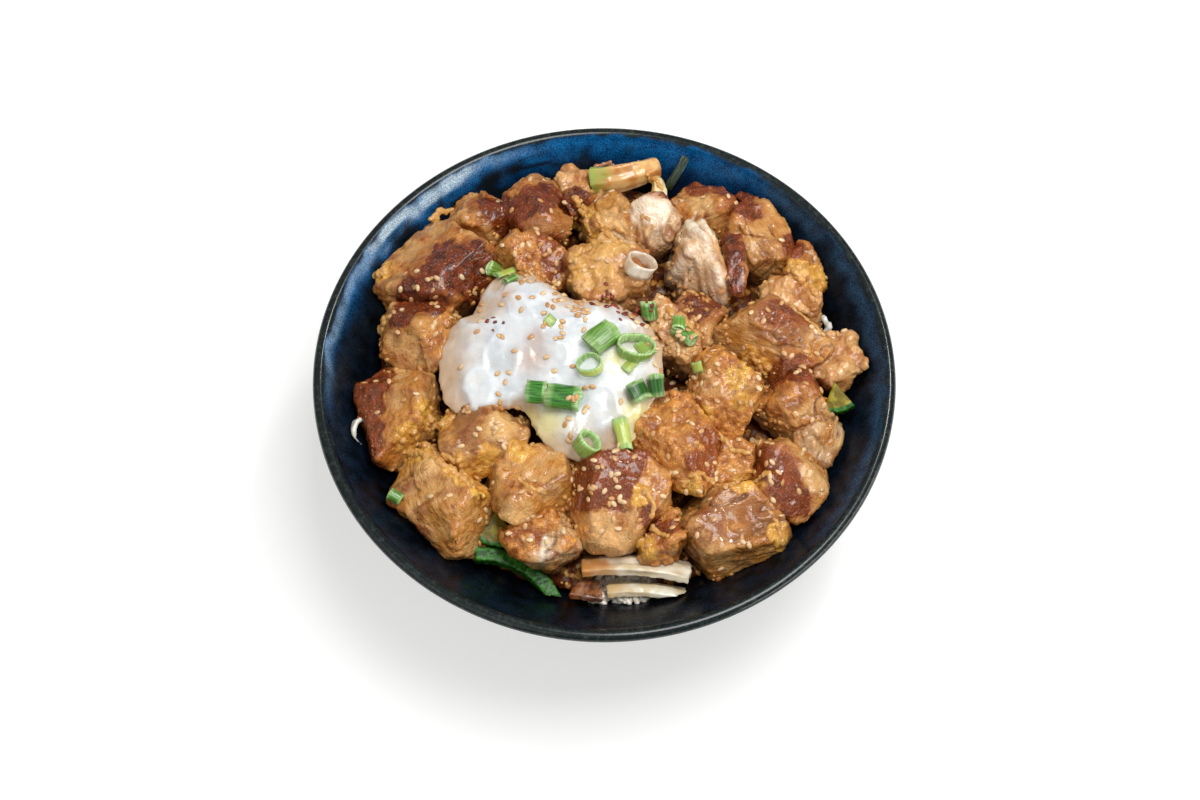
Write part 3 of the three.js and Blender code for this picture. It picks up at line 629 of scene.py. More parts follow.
@look
def leaf_look(tree):
    """Spring onion: dark ribbed outside, pale inside and at the cut ends."""
    ribs = tree.fibres(0.7)
    colour = tree.layers(
        tree.mix(ribs, "1c5a12", "4c9a30"),
        ("dark", 1, "0c2606"),
        ("young", 1, "c9d163"),
        ("inner", 1, tree.mix(ribs, "8dbb66", "c4dba0")),
    )
    tree.shade(
        colour, 0.2, (0.5, 1.0, 0.3), 1.0, roughness=0.28, normal=tree.bump(ribs, 0.1),
        coat_weight=0.3, coat_roughness=0.15,
    )


@look
def courgette_look(tree):
    """Courgette: yellow-green flesh inside a dark green skin."""
    rind = tree.mix(tree.patches(1.6), "1d4a14", "3a7a22")
    tree.shade(
        tree.layers(tree.mix(tree.patches(4), "746408", "a89a2c"), ("rind", 1, rind)),
        0.25, (0.8, 1.0, 0.3), 2.0, roughness=0.35, normal=tree.bump(tree.patches(2), 0.08),
        specular_ior_level=0.25,
    )


@look
def topping_look(tree, dark, light, roughness):
    """A small topping whose copies go from dark to light by their own shade."""
    colour = tree.layers(tree.mix(tree.read("shade"), dark, light), (tree.patches(0.8), 0.3, dark))
    tree.shade(colour, 0.15, depth=1.0, roughness=roughness, coat_weight=0.2)


@look
def floor_look(tree, colour):
    """A pale floor, with some light of its own so that its shadows stay light."""
    tree.shade(colour, roughness=0.9, emission_color=colour, emission_strength=0.75)


# Bowl


def inner_profile():
    """The bowl's inner wall from the floor to the lip, as points and directions in mm."""
    corners = np.array([
        (0, FLOOR_HEIGHT),
        (RIM_RADIUS * 0.49, FLOOR_HEIGHT),
        (RIM_RADIUS * 0.73, BOWL_HEIGHT * 0.59),
        (RIM_RADIUS - WALL, BOWL_HEIGHT - LIP_HEIGHT),
    ])
    points, slopes = [], []
    for share in np.linspace(0, 1, WALL_STEPS + 1):
        rest = 1 - share
        points.append((rest**3, 3 * rest**2 * share, 3 * rest * share**2, share**3) @ corners)
        slope = (-(rest**2), rest**2 - 2 * rest * share, 2 * rest * share - share**2, share**2) @ corners
        slopes.append(slope / np.linalg.norm(slope))
    return np.array(points), np.array(slopes)


def bowl_profile():
    """The whole section of the bowl, from the middle of its floor round to the middle of its base, in mm."""
    inner, slopes = inner_profile()
    lip = []
    for angle in LIP_ANGLES:
        turn = math.radians(angle)
        out = RIM_RADIUS - WALL / 2 + WALL / 2 * math.cos(turn)
        lip.append((out, BOWL_HEIGHT - LIP_HEIGHT + LIP_HEIGHT * math.sin(turn)))
    outside = inner + np.column_stack([slopes[:, 1], -slopes[:, 0]]) * WALL
    outer = [point for point in outside[::-1] if FOOT_RADIUS + 2 < point[0] < RIM_RADIUS - 0.2]
    edge = FOOT_RADIUS - FOOT_WIDTH
    foot = [
        (FOOT_RADIUS, FOOT_HEIGHT), (FOOT_RADIUS - 0.8, 1.2), (FOOT_RADIUS - 2, 0), (edge + 1, 0), (edge, 1),
        (edge - 1, FOOT_RECESS - 0.6), (edge - 2.5, FOOT_RECESS), (0, FOOT_RECESS),
    ]
    return [*inner, *lip, *outer, *foot]


def spun(name, profile, steps):
    """Draws a section by extruding one point, and spins it round the Z axis."""
    bpy.ops.mesh.primitive_plane_add(size=MM)
    piece = bpy.context.active_object
    piece.name = name
    mesh = bpy.ops.mesh
    places = [Vector((x * MM, 0, z * MM)) for x, z in profile]
    moves = [{"value": there - here} for here, there in itertools.pairwise(places)]
    edited(
        piece,
        (mesh.merge, {"type": "CENTER"}),
        (bpy.ops.transform.translate, {"value": places[0]}),
        *((mesh.extrude_region_move, {"TRANSFORM_OT_translate": move}) for move in moves),
        (mesh.select_all, {"action": "SELECT"}),
        (mesh.spin, {"steps": steps, "angle": 2 * math.pi, "center": (0, 0, 0), "axis": (0, 0, 1)}),
        (mesh.select_all, {"action": "SELECT"}),
        (mesh.remove_doubles, {"threshold": MERGE_DISTANCE}),
        (mesh.normals_make_consistent, {"inside": False}),
    )
    return piece


def paint_glaze(bowl, blue_reach):
    """Where the glaze runs blue, steel blue or milky, and where it is thin or stops. Its fading to black
    downwards and towards the front is partly the glaze and partly painted shade, and the milky band holds a
    painted highlight.
    """
    x, y, z = points_of(bowl).T
    out = np.hypot(x, y)
    angle = np.degrees(np.arctan2(y, x)) % 360
    wall = np.column_stack([100 * x / np.maximum(out, 1), 100 * y / np.maximum(out, 1), z])
    runs = cloudy(wall, (5.0, 5.0, 18.0), 3) + 0.5 * cloudy(wall, 2.5, 8) - 0.75

    def above(low, high, run):
        return smoothstep(low, high, z + run * runs)

    def near(middle, none, full, run=0):
        """1 where the angle in degrees is near a middle one, down to 0 away from it."""
        return smoothstep(none, full, np.abs((angle - middle + 180) % 360 - 180) + run * runs)

    inner = inner_profile()[0]
    inside = smoothstep(1.4, 0.1, out - np.interp(z, inner[:, 1], inner[:, 0]) + 1.5 * runs)
    # The blue at the back left and the steel blue at the right stand near the lip and fade to black lower
    # down, and the blue also towards the front: partly the glaze and partly painted shade
    at_back = near(90, 60, 20)
    blue = near(112, blue_reach + 20, blue_reach - 10, 25) * above(60 - 10 * at_back, 67 - 8 * at_back, 9)
    steel = np.maximum(near(20, 75, 45) * above(62, 67.5, 5), 0.16 * above(52, 66, 14))
    streaks = 0.2 + 0.8 * smoothstep(0.35, 0.62, cloudy(wall, (20.0, 20.0, 2.2), 31))
    # The milky band under the lip at the back left is partly the glaze and partly a painted highlight, and
    # the glint is a painted highlight along the lip
    milky = near(137, 30, 14, 6) * above(62.5, 66, 3) * streaks
    painted_glint = 0.6 * above(64.5, 67.5, 3) * near(145, 50, 25)
    course = np.abs(cloudy(wall, (14.0, 14.0, 4.0), 27) - 0.5)
    vein = smoothstep(0.13, 0.04, course) * near(125, 45, 25) * smoothstep(67, 63, z)
    paint(
        # The light value darkens the blue towards the bottom of the wall: partly the glaze and partly
        # painted shade
        bowl, blue=inside * blue, light=above(57, 69, 7), steel=inside * steel, vein=inside * vein,
        milky=inside * np.maximum(milky, painted_glint), rim=(1 - inside) * (z > FOOT_HEIGHT + 4),
        bare=above(FOOT_HEIGHT, FOOT_HEIGHT - 2, 2),
    )


class GlazeSettings(bpy.types.PropertyGroup):
    segments: IntProperty(
        name="Segments", description="Faces round the bowl", default=288, min=48, max=480
    )
    blue_reach: FloatProperty(
        name="Blue Reach", description="How far round from the back left the blue runs, in degrees",
        default=50, min=20, max=180,
    )


class RICEBOWL_OT_bowl(bpy.types.Operator):
    """Spin the glazed stoneware bowl"""

    bl_idname = "ricebowl.bowl"
    bl_label = "Glazed Bowl"

    def execute(self, context):
        settings = context.scene.ricebowl_glaze
        bowl = spun("bowl_glazed", bowl_profile(), settings.segments)
        paint_glaze(bowl, settings.blue_reach)
        finish_piece(bowl, "glaze", glaze_look("reactive_glaze"), "bowl")
        return {"FINISHED"}


# Rice and the layer on it

RICE_SHOWS_X = (-4, 15)
RICE_SHOWS_Y = (-80.5, -70)
GRAIN_SIZE = (5.6, 2.3, 2.0)


def grain(size):
    """One seed or grain: a ball drawn out to its length, width and height in mm."""
    bpy.ops.mesh.primitive_uv_sphere_add(segments=8, ring_count=6, radius=0.5)
    piece = bpy.context.active_object
    turn = {"value": math.pi / 2, "orient_axis": "Y", "center_override": (0, 0, 0)}
    stretch = {"value": [side * MM for side in size]}
    edited(piece, (bpy.ops.transform.rotate, turn), (bpy.ops.transform.resize, stretch))
    return piece


class RICEBOWL_OT_rice(bpy.types.Operator):
    """Lay the rice, with loose grains where it shows at the front"""

    bl_idname = "ricebowl.rice"
    bl_label = "Rice"

    def execute(self, context):
        finish = rice_look("steamed_rice")
        core = copy_of("rice", "rice_core", 1.6, 4)
        lumpy(core, 3, 1.2, "VORONOI")
        finish_piece(core, "rice", finish, "rice")
        ground = Ground()
        draw = random.Random(4)
        places = []
        for _ in range(context.scene.ricebowl_toppings.rice_grains):
            spot = ground.under(draw.uniform(*RICE_SHOWS_X), draw.uniform(*RICE_SHOWS_Y))[0]
            turn = Euler((draw.uniform(-0.5, 0.5), draw.uniform(-0.5, 0.5), draw.uniform(0, 6.3)))
            place = spot + UP * draw.uniform(0.8, 2.6) * MM
            places.append(Matrix.Translation(place) @ turn.to_matrix().to_4x4())
        strew("rice_grains", grain(GRAIN_SIZE), places, draw, "rice", finish)
        return {"FINISHED"}


class RICEBOWL_OT_sauce(bpy.types.Operator):
    """Spread the half set egg, onion and sauce over the rice"""

    bl_idname = "ricebowl.sauce"
    bl_label = "Egg and Onion Layer"

    def execute(self, context):
        lumps = (6, 3.0), (2.2, 1.0)
        bed = copy_of("egg_and_onion_bed", "egg_and_onion_layer", 1.1, 3, *lumps)
        finish_piece(bed, "sauce", sauce_look("brown_sauce"), "egg_and_onion_bed")
        return {"FINISHED"}


# Chicken

# The browned, pale, mauve and egg-coated patches on the food, each as x, y and reach in mm
MARKS = {
    "skin": [
        (-56, 43, 9), (-49, 38, 9), (-46, 43, 6), (-62, 36, 6), (-54, 34, 6), (-68, 29, 8), (-62, 26, 6),
        (-72, 21, 5), (-82, -6, 8), (-83, -14, 7), (-83, -22, 7), (-82, -29, 6), (-80, 0, 6),
        (-2, -44, 9), (3, -47, 9), (-4, -50, 6), (7, -41, 7), (12, -36, 4), (69, -2, 7), (62, -2, 5),
        (76, -4, 5), (59, -38, 7), (62, -44, 7), (56, -35, 5), (65, -48, 6), (48, 72, 8), (44, 77, 6),
        (52, 65, 6), (35, 76, 5), (17, 71, 5), (21, 69, 4), (-25, 67, 8), (-20, 72, 6), (-29, 62, 5),
        (-40, 68, 7), (-36, 63, 6), (-20, 49, 6), (-17, 39, 6), (-21, 29, 5), (-11, 69, 7), (61, 17, 6),
        (68, 19, 5), (33, -39, 5), (37, -30, 5), (68, 51, 5), (22, -61, 4), (16, -58, 4), (47, 31, 3.5),
        (47, 36, 3.5), (47, 41, 3.5), (47, 46, 3.5), (46, 51, 3.5), (33, 24, 7), (28, 22, 5), (38, 26, 4),
    ],
    "egg": [
        (-68, -26, 5), (-64, -31, 5), (-51, -39, 5), (-47, -43, 5), (-43, -46, 4), (-43, -38, 4),
        (-40, -35, 4), (-29, -34, 5), (-5, 44, 7), (2, 46, 7), (-10, 37, 6), (-2, 33, 6), (-7, 61, 4),
        (-4, 51, 4), (-80, 42, 5), (-81, 24, 4), (35, -19, 3), (46, -7, 5), (47, -16, 4), (51, 5, 4),
        (56, 1, 4), (29, -47, 4), (47, -44, 5), (57, -42, 4), (59, -61, 4), (15, -66, 4), (12, -51, 4),
        (77, 41, 5), (71, 42, 5), (-61, -16, 5), (-57, -20, 4),
    ],
    "pale": [
        (-75, 28, 3), (2, -61, 9), (-1, -66, 7), (-29, -57, 6), (-34, -59, 5), (-22, -66, 5), (17, 63, 8),
        (33, 50, 7), (31, 57, 5), (34, 40, 6), (27, 36, 6), (39, 31, 6), (4, 56, 6), (7, 49, 5),
        (-72, 0, 4), (-36, -26, 6), (73, -40, 6), (-60, -38, 5), (35, 68, 5),
    ],
    "mauve": [
        (-48, -22, 8), (-43, -29, 7), (59, 16, 9), (66, 13, 7), (63, -7, 6), (65, -12, 5), (45, -55, 12),
        (52, -57, 8), (38, -57, 8), (-27, 64, 8),
    ],
}

# How crusty each chunk is, from 0 to 1, the yaw of its grain in degrees, how golden its flesh is, and how
# much of it is torn along the grain
CHUNK_LOOKS = {
    "back_left_wedge": (0.25, 30, 0.1, 0.3),
    "left_upper": (0.4, 20, 0.3, 0.5),
    "left_middle": (0.15, 75, 0.7, 0.35),
    "left_front": (0.1, 110, 0.6, 0.25),
    "front_left_round": (0.1, 20, 0.3, 0.05),
    "front_middle_left": (0.15, 60, 0.8, 0.2),
    "front_low": (0.35, 0, 0.5, 0.8),
    "front_tall": (0.25, 70, 0.85, 0.35),
    "crusty_middle": (0.9, 100, 0.9, 0.5),
    "crusty_right": (0.5, 60, 0.7, 0.4),
    "right_broad": (0.2, 160, 0.3, 0.35),
    "right_flat": (0.3, 150, 0.5, 0.5),
    "right_lobe": (0.25, 100, 0.7, 0.8),
    "right_front_cube": (0.2, 60, 0.7, 0.3),
    "front_right_broad": (0.15, 15, 0.4, 0.5),
    "front_gap": (0.7, 90, 0.8, 0.5),
    "crumb_middle": (0.9, 0, 0.8, 0.6),
    "back_right_left": (0.25, 40, 0.6, 0.4),
    "back_right_lobe": (0.15, 120, 0.6, 0.55),
    "right_back_small": (0.4, 60, 0.5, 0.6),
    "torn_white": (0.05, 115, 0.8, 0),
    "white_end": (0.05, 90, 0.8, 0.4),
    "back_flat": (0.15, 130, 0.8, 0.8),
    "back_dark": (0.35, 0, 0.2, 0.7),
    "back_left_dark": (0.3, 30, 0.4, 0.6),
    "streaked_crust": (0.8, 140, 0.7, 0.7),
    "sauce_hollow": (0.2, 0, 0.3, 0.3),
    "small_cap": (0.3, 0, 0.4, 0.4),
    "skin_strip": (0.0, 90, 0.2, 0.3),
}

# The finish of each slot of chicken, and its plain, golden and pale flesh and its light and dark skin
CHICKEN_FINISHES = {
    "browned_chicken": ("browned_chunks", "a9652a", "da9038", "e4b070", "8e3c18", "42150a"),
    "glazed_chicken": ("glazed_chunks", "bb7836", "e29c42", "e8b774", "ac5a24", "642a0e"),
    "pale_chicken": ("pale_chunks", "e4b47c", "f8dab0", "ffe8cc", "a85a26", "743212"),
}


def slot_of(node):
    """The record's material slot of a node, which its solid's material is named after."""
    return frame["nodes"][node].data.materials[0].name


def marked(points, kind, seed):
    """How far each point lies inside a kind of patch: 1 in its middle, 0 at its ragged edge, down to -1."""
    level = np.full(len(points), -1.0)
    for x, y, reach in MARKS[kind]:
        level = np.maximum(level, 1 - squared_away(points, x, y) / reach**2)
    return level + 0.8 * (cloudy(points, 3.5, seed) - 0.5) + 0.4 * (cloudy(points, 1.4, seed + 7) - 0.5)


def paint_food(piece, yaw, crust, torn_share, seed, swelling=0.0, edge=0.0):
    """Paints a chunk's patches, and gives it the relief that goes with them."""
    points = points_of(piece)
    grain_places = along_grain(points, yaw)
    paint_grain(piece, grain_places)
    bent = grain_places + 3 * np.column_stack([cloudy(points, 7, seed + k) for k in (5, 6, 7)])

    def noise(size, number, places=points):
        return cloudy(places, size, seed + number)

    skin_level = marked(points, "skin", seed)
    skin = smoothstep(0, 0.3, skin_level)
    egg = smoothstep(0, 0.3, marked(points, "egg", seed))
    crumbs = smoothstep(0.75 - crust, 1.05 - crust, noise(6, 3)) * (1 - skin)
    crumbed = np.maximum(crumbs, egg)
    plain = (1 - skin) * (1 - crumbed)
    height, split, _ = bundled(bent, (13.0, 4.5, 4.5), seed)
    fibres = noise((8.0, 1.2, 1.2), 0, bent) - 0.5
    grains = noise(1.5, 1) + 0.6 * noise(2.8, 2) - 0.8
    swells = noise(5, 9) - 0.5
    fully_torn = 0.95 - 0.5 * torn_share
    torn = plain * smoothstep(fully_torn - 0.2, fully_torn, noise(9, 8))
    slit = smoothstep(0.035, 0.01, np.abs(noise((16.0, 7.0, 7.0), 11, bent) - 0.5))
    slit *= plain * smoothstep(fully_torn - 0.15, fully_torn, noise(8, 12))
    relief = torn * (1.6 * (height - 0.5) - 0.45 * split + 0.6 * fibres) + 0.6 * plain * swells - 0.8 * slit
    relief += 1.3 * grains * crumbed + (0.7 * (noise(2.4, 4) - 0.5) + 1.0 * swells) * skin + swelling
    relief += 0.9 * edge * (1 - skin) * (noise(1.7, 13) - 0.4)
    shown = 0.6 * fibres + 0.5 * swells + 0.6 * torn * (height - 0.5) + 0.8 * grains * crumbed
    paint(
        # The raised value is painted light and shade: low relief darker, crests lighter
        piece, skin=skin, egg=egg, crust=crumbs, raised=np.clip(0.5 + shown, 0, 1),
        pale=smoothstep(-0.3, 0.7, marked(points, "pale", seed)),
        mauve=smoothstep(-0.2, 0.6, marked(points, "mauve", seed)),
        # Painted shade in the creases and slits
        seared=smoothstep(-0.9, 0.1, skin_level), crease=np.maximum(0.6 * split * torn, slit),
        # Sauce and painted shade where the food lies low under the dome
        deep=smoothstep(4, 15, topping_top(points[:, 0], points[:, 1]) - points[:, 2]),
    )
    push(piece, relief)


class ChickenSettings(bpy.types.PropertyGroup):
    cell: FloatProperty(
        name="Cell", description="Size of a chunk's faces", default=0.00055, min=0.0004, max=0.003,
        unit="LENGTH", precision=5,
    )
    lump_depth: FloatProperty(
        name="Lump Depth", description="How far a chunk's broad lumps stand out", default=0.0018,
        min=0, max=0.006, unit="LENGTH", precision=5,
    )
    faces: IntProperty(
        name="Faces", description="How many flat faces a chunk has", default=10, min=5, max=40
    )
    flatness: FloatProperty(
        name="Flatness", description="How flat the cut faces are", default=1, min=0, max=1,
        subtype="FACTOR",
    )
    swelling: FloatProperty(
        name="Swelling", description="How far the chunks swell against each other", default=0.0007,
        min=0, max=0.002, unit="LENGTH", precision=5,
    )


# The white trunk and foot of the torn piece, as x, y and half width along two courses, in mm
TORN_TRUNK = [
    [(32, 58, 3.6), (34, 50, 3.6), (37, 40, 4.2), (42, 31, 3.6)],
    [(25, 41, 3.6), (31, 43, 4.0), (36, 45, 3.6)],
]


def near_course(points, courses):
    """1 where a point lies over one of the courses, down to 0 beside them."""
    level = np.zeros(len(points))
    for course in courses:
        for here, there in itertools.pairwise(np.array(course)):
            for share in np.linspace(0, 1, 9):
                x, y, half = here + share * (there - here)
                away = np.hypot(points[:, 0] - x, points[:, 1] - y)
                level = np.maximum(level, smoothstep(half + 1.2, half - 1.2, away))
    return level


def strands_of(piece, yaw):
    """How far the long strands of torn breast stand out at each point, in mm."""
    places = along_grain(points_of(piece), yaw)
    return 4.0 * (cloudy(places, (40.0, 1.8, 40.0), 5) + 0.5 * cloudy(places, (20.0, 0.9, 20.0), 6) - 0.75)


class RICEBOWL_OT_chicken(bpy.types.Operator):
    """Shape and brown the chunks of chicken"""

    bl_idname = "ricebowl.chicken"
    bl_label = "Chicken"

    def execute(self, context):
        settings = context.scene.ricebowl_chicken
        for seed, (chunk, (crust, yaw, gold, torn)) in enumerate(CHUNK_LOOKS.items()):
            node = f"chicken_{chunk}"
            piece = copy_of(node, f"{node}_cooked", settings.cell / MM, 3)
            edge = faceted(piece, settings.faces, settings.flatness, seed)
            lumpy(piece, 7, settings.lump_depth / MM)
            shadowed = 0
            if chunk == "torn_white":
                trunk = near_course(points_of(piece), TORN_TRUNK)
                strands = strands_of(piece, yaw)
                push(piece, strands + 3.2 * (trunk - 0.6))
                # Tan flesh beside the white trunk, and painted shade in the grooves between its strands
                shadowed = np.maximum(1 - trunk, 0.8 * smoothstep(0.1, -0.6, strands))
            paint(piece, shadowed=shadowed, edge=edge, gold=gold)
            paint_food(piece, yaw, crust, torn, seed, settings.swelling / MM, edge)
            slot = slot_of(node)
            finish_piece(piece, slot, chicken_look(*CHICKEN_FINISHES[slot]), node)
        return {"FINISHED"}


# How crumbly each heap of egg is, from 0 to 1, and the size of its lumps in mm
CURD_LOOKS = {
    "curds_right": (0.35, 5.0),
    "curds_far_right": (0.2, 5.5),
    "curds_back": (0.2, 4.5),
    "curds_middle": (0.25, 8.0),
    "crumbs_middle": (0.8, 4.0),
}


class RICEBOWL_OT_curds(bpy.types.Operator):
    """Set the heaps of egg curds"""

    bl_idname = "ricebowl.curds"
    bl_label = "Egg Curds"

    def execute(self, context):
        for seed, (node, (crumbly, size)) in enumerate(CURD_LOOKS.items()):
            piece = copy_of(node, f"{node}_set", 0.6, 5, (6, 1.6))
            points = points_of(piece)
            bent = points + 0.4 * size * (cloudy(points, size, seed + 2)[:, None] - 0.5)
            value, _, away = bundled(bent, size, seed + 50)
            small = bundled(bent, 0.45 * size, seed + 60)[2]
            push(piece, 0.34 * size * (0.45 - away**2) + 0.14 * size * (0.4 - small**2))
            # Darker towards the edges of each curd, in the hollows between them
            paint(piece, tone=value, hollow=0.8 * smoothstep(0.45, 0.85, away))
            paint_food(piece, 0, crumbly, 0.3, 50 + seed)
            finish_piece(piece, "egg_curd", curd_look("egg_curds"), node)
        return {"FINISHED"}


# Egg

# Where yolk tints the white, and where a chunk shows through it, each as x, y and reach in mm
YOLK_MARKS = [(-19, -24, 6), (-26, -22, 4), (11, -22, 6), (13, -27, 5), (5, -3, 5)]
STAIN_MARKS = [(-25, -1, 6), (-24, 5, 4), (-35, 24, 4)]


def thickness_of(piece):
    """How thick a piece is under each of its points, in mm."""
    tree = BVHTree.FromObject(piece, bpy.context.evaluated_depsgraph_get())
    past_surface = UP * 0.2 * MM
    thick = []
    for vertex in piece.data.vertices:
        top = tree.ray_cast(Vector((*vertex.co.xy, ABOVE_ALL)), -UP)[0]
        under = top and tree.ray_cast(top - past_surface, -UP)[0]
        thick.append((top.z - under.z) / MM if under else 0)
    return np.array(thick)


def spots(points, marks):
    """How near each point lies to one of the marks, from 0 to 1."""
    return np.max([np.exp(-squared_away(points, x, y) / reach**2) for x, y, reach in marks], axis=0)


class RICEBOWL_OT_egg(bpy.types.Operator):
    """Drape the soft egg over the chunks"""

    bl_idname = "ricebowl.egg"
    bl_label = "Soft Egg"

    def execute(self, context):
        egg = copy_of("egg_white", "egg_white_soft", 0.8, 14, (11, 1.2))
        points = points_of(egg)
        folds = 1 - np.abs(2 * cloudy(points + 5 * (cloudy(points, 9, 2)[:, None] - 0.5), 9, 5) - 1)
        push(egg, 0.9 * (folds**4 - 0.3) + 0.35 * (cloudy(points, 2.6, 6) - 0.5))
        points = points_of(egg)
        yolk, stain = spots(points, YOLK_MARKS), spots(points, STAIN_MARKS)
        paint(egg, thin=smoothstep(5.2, 1.2, thickness_of(egg)), yolk=yolk, stain=stain)
        finish_piece(egg, "egg_white", egg_look("soft_egg_white"), "egg_white")
        return {"FINISHED"}


# Onion, spring onion and courgette

# Light, dark and end colours of each strip of onion
ONIONS = {
    "onion_front_upper": ("ece2cb", "d0bb94", "c98d4c"),
    "onion_front_lower": ("eee5d0", "d6c096", "d8b884"),
    "onion_glazed_front": ("9a5a22", "5a2a0e", "7a4016"),
    "onion_back": ("e2b468", "c67e34", "a6b650"),
    "onion_back_right": ("f0dca8", "dcb468", "e0b860"),
    "onion_curl_left": ("ecebe2", "cfcfc0", "d9d6c4"),
}

# Tubes and rings: radius, length, flatness and turns, as their solids have them, and how young and how
# dark each leaf is
TUBES = {
    "onion_ring_middle": (5.6, 5, 1, (66, 24, 0), 0.0, 0.0),
    "spring_onion_large": (4.7, 12, 0.75, (0, 0, 84), 0.0, 0.15),
    "spring_onion_second": (4.2, 7, 0.75, (0, 0, 86), 0.0, 0.0),
    "spring_onion_blade": (4.6, 11, 0.5, (0, 8, -48), 0.15, 0.0),
    "spring_onion_ring_pale": (6.4, 4, 0.8, (76, 10, 0), 0.3, 0.0),
    "spring_onion_ring_yellow": (4.6, 3.4, 0.85, (80, -12, 0), 0.9, 0.0),
    "spring_onion_dark": (4, 7, 0.6, (20, 30, 40), 0.0, 0.6),
    "spring_onion_upright": (2.8, 8, 0.6, (30, 0, 6), 0.0, 0.5),
    "spring_onion_front": (4.4, 5.5, 1, (50, 10, -50), 0.35, 0.3),
    "spring_onion_stalk": (2.6, 11, 0.7, (10, 0, 12), 0.75, 0.0),
    "spring_onion_loop": (3, 6, 1, (40, 0, 8), 0.1, 0.3),
    "spring_onion_right": (3, 8, 0.7, (0, 10, 48), 0.1, 0.1),
}
LEAF_WALL = 0.6


def tube(name, radius, length, flat, turn):
    """A short open tube of leaf along Y, flattened, turned and painted inside and out. Sizes are in mm."""
    bpy.ops.mesh.primitive_cylinder_add(
        vertices=32, radius=radius * MM, depth=length * MM, end_fill_type="NOTHING",
        rotation=(math.pi / 2, 0, 0),
    )
    piece = bpy.context.active_object
    piece.name = name
    bpy.ops.object.transform_apply(location=False, rotation=True, scale=False)
    modified(piece, "SUBSURF", subdivision_type="SIMPLE", levels=2, render_levels=2)
    modified(piece, "SOLIDIFY", thickness=LEAF_WALL * MM, offset=-1)
    points = points_of(piece)
    x, y, z = points.T.copy()
    out = np.hypot(x, z)
    paint_grain(piece, np.column_stack([y, np.arctan2(z, x) * radius, out]))
    ends = smoothstep(length / 2 - 0.3, length / 2, np.abs(y))
    paint(piece, inner=np.maximum(smoothstep(radius - 0.25, radius - 0.6, out), ends))
    wave = 1 + 0.3 * (cloudy(points, 4, radius * 10) - 0.5)
    points[:, 0] *= wave
    points[:, 2] *= flat * wave
    points[:, 1] *= 1 + 0.3 * (cloudy(points, 3, radius * 7) - 0.5)
    turned = np.array(Euler([math.radians(angle) for angle in turn]).to_matrix())
    move_points(piece, points @ turned.T)
    edited(piece, (bpy.ops.mesh.normals_make_consistent, {"inside": False}))
    return piece


def put_over(piece, node):
    """Moves a piece so that it lies over the middle of a solid with its top at the solid's top."""
    low, high = np.array(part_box(node)) / MM
    points = points_of(piece)
    lowest, highest = points.min(axis=0), points.max(axis=0)
    shift = (low + high) / 2 - (lowest + highest) / 2
    shift[2] = high[2] - highest[2]
    move_points(piece, points + shift)


def end_share(points):
    """1 at a strip's left end, and 0 from a third of the way along it."""
    x = points[:, 0]
    along = (x - x.min()) / (x.max() - x.min())
    return smoothstep(0.38, 0.05, along + 0.25 * (cloudy(points, 3.0, 9) - 0.5))


class RICEBOWL_OT_onions(bpy.types.Operator):
    """Lay the strips of onion"""

    bl_idname = "ricebowl.onions"
    bl_label = "Onion"

    def execute(self, context):
        for node, colours in ONIONS.items():
            piece = copy_of(node, f"{node}_soft", 0.4, 6, (4, 0.5))
            points = points_of(piece)
            places = along_grain(points)
            paint_grain(piece, places)
            paint(piece, end=end_share(points))
            push(piece, 0.9 * (cloudy(places, (30.0, 2.2, 2.2), 40) - 0.5))
            finish_piece(piece, slot_of(node), onion_look(f"{node}_flesh", *colours), node)
        return {"FINISHED"}


class RICEBOWL_OT_spring_onion(bpy.types.Operator):
    """Scatter the cut spring onion"""

    bl_idname = "ricebowl.spring_onion"
    bl_label = "Spring Onion"

    def execute(self, context):
        leaf = leaf_look("spring_onion_leaf")
        onion = onion_look("onion_ring_flesh", "ead9c2", "bfa283", "e0d0c0")
        for node, (*form, young, dark) in TUBES.items():
            piece = tube(f"{node}_cut", *form)
            put_over(piece, node)
            paint(piece, young=young, dark=dark, end=0)
            finish_piece(piece, slot_of(node), onion if node.startswith("onion") else leaf, node)
        strip = copy_of("green_strip_back", "green_strip_back_cut", 0.3, 3)
        paint_grain(strip, along_grain(points_of(strip)))
        paint(strip, young=0, dark=1, inner=0)
        finish_piece(strip, "spring_onion", leaf, "green_strip_back")
        return {"FINISHED"}


# The middle of each courgette slice, and how far from it the rind begins, in mm
COURGETTE_RINDS = {
    "courgette_left": (-36, -50, 10.9),
    "courgette_right": (81.5, -2, 9.9),
    "courgette_skin_front": (-28, -68, -1),
}


class RICEBOWL_OT_courgette(bpy.types.Operator):
    """Lay the pieces of courgette"""

    bl_idname = "ricebowl.courgette"
    bl_label = "Courgette"

    def execute(self, context):
        for node, (x, y, reach) in COURGETTE_RINDS.items():
            piece = copy_of(node, f"{node}_cut", 0.45, 3)
            out = squared_away(points_of(piece), x, y) ** 0.5
            paint(piece, rind=smoothstep(reach - 0.3, reach + 0.3, out))
            finish_piece(piece, "courgette", courgette_look("courgette_flesh"), node)
        return {"FINISHED"}


# Small toppings

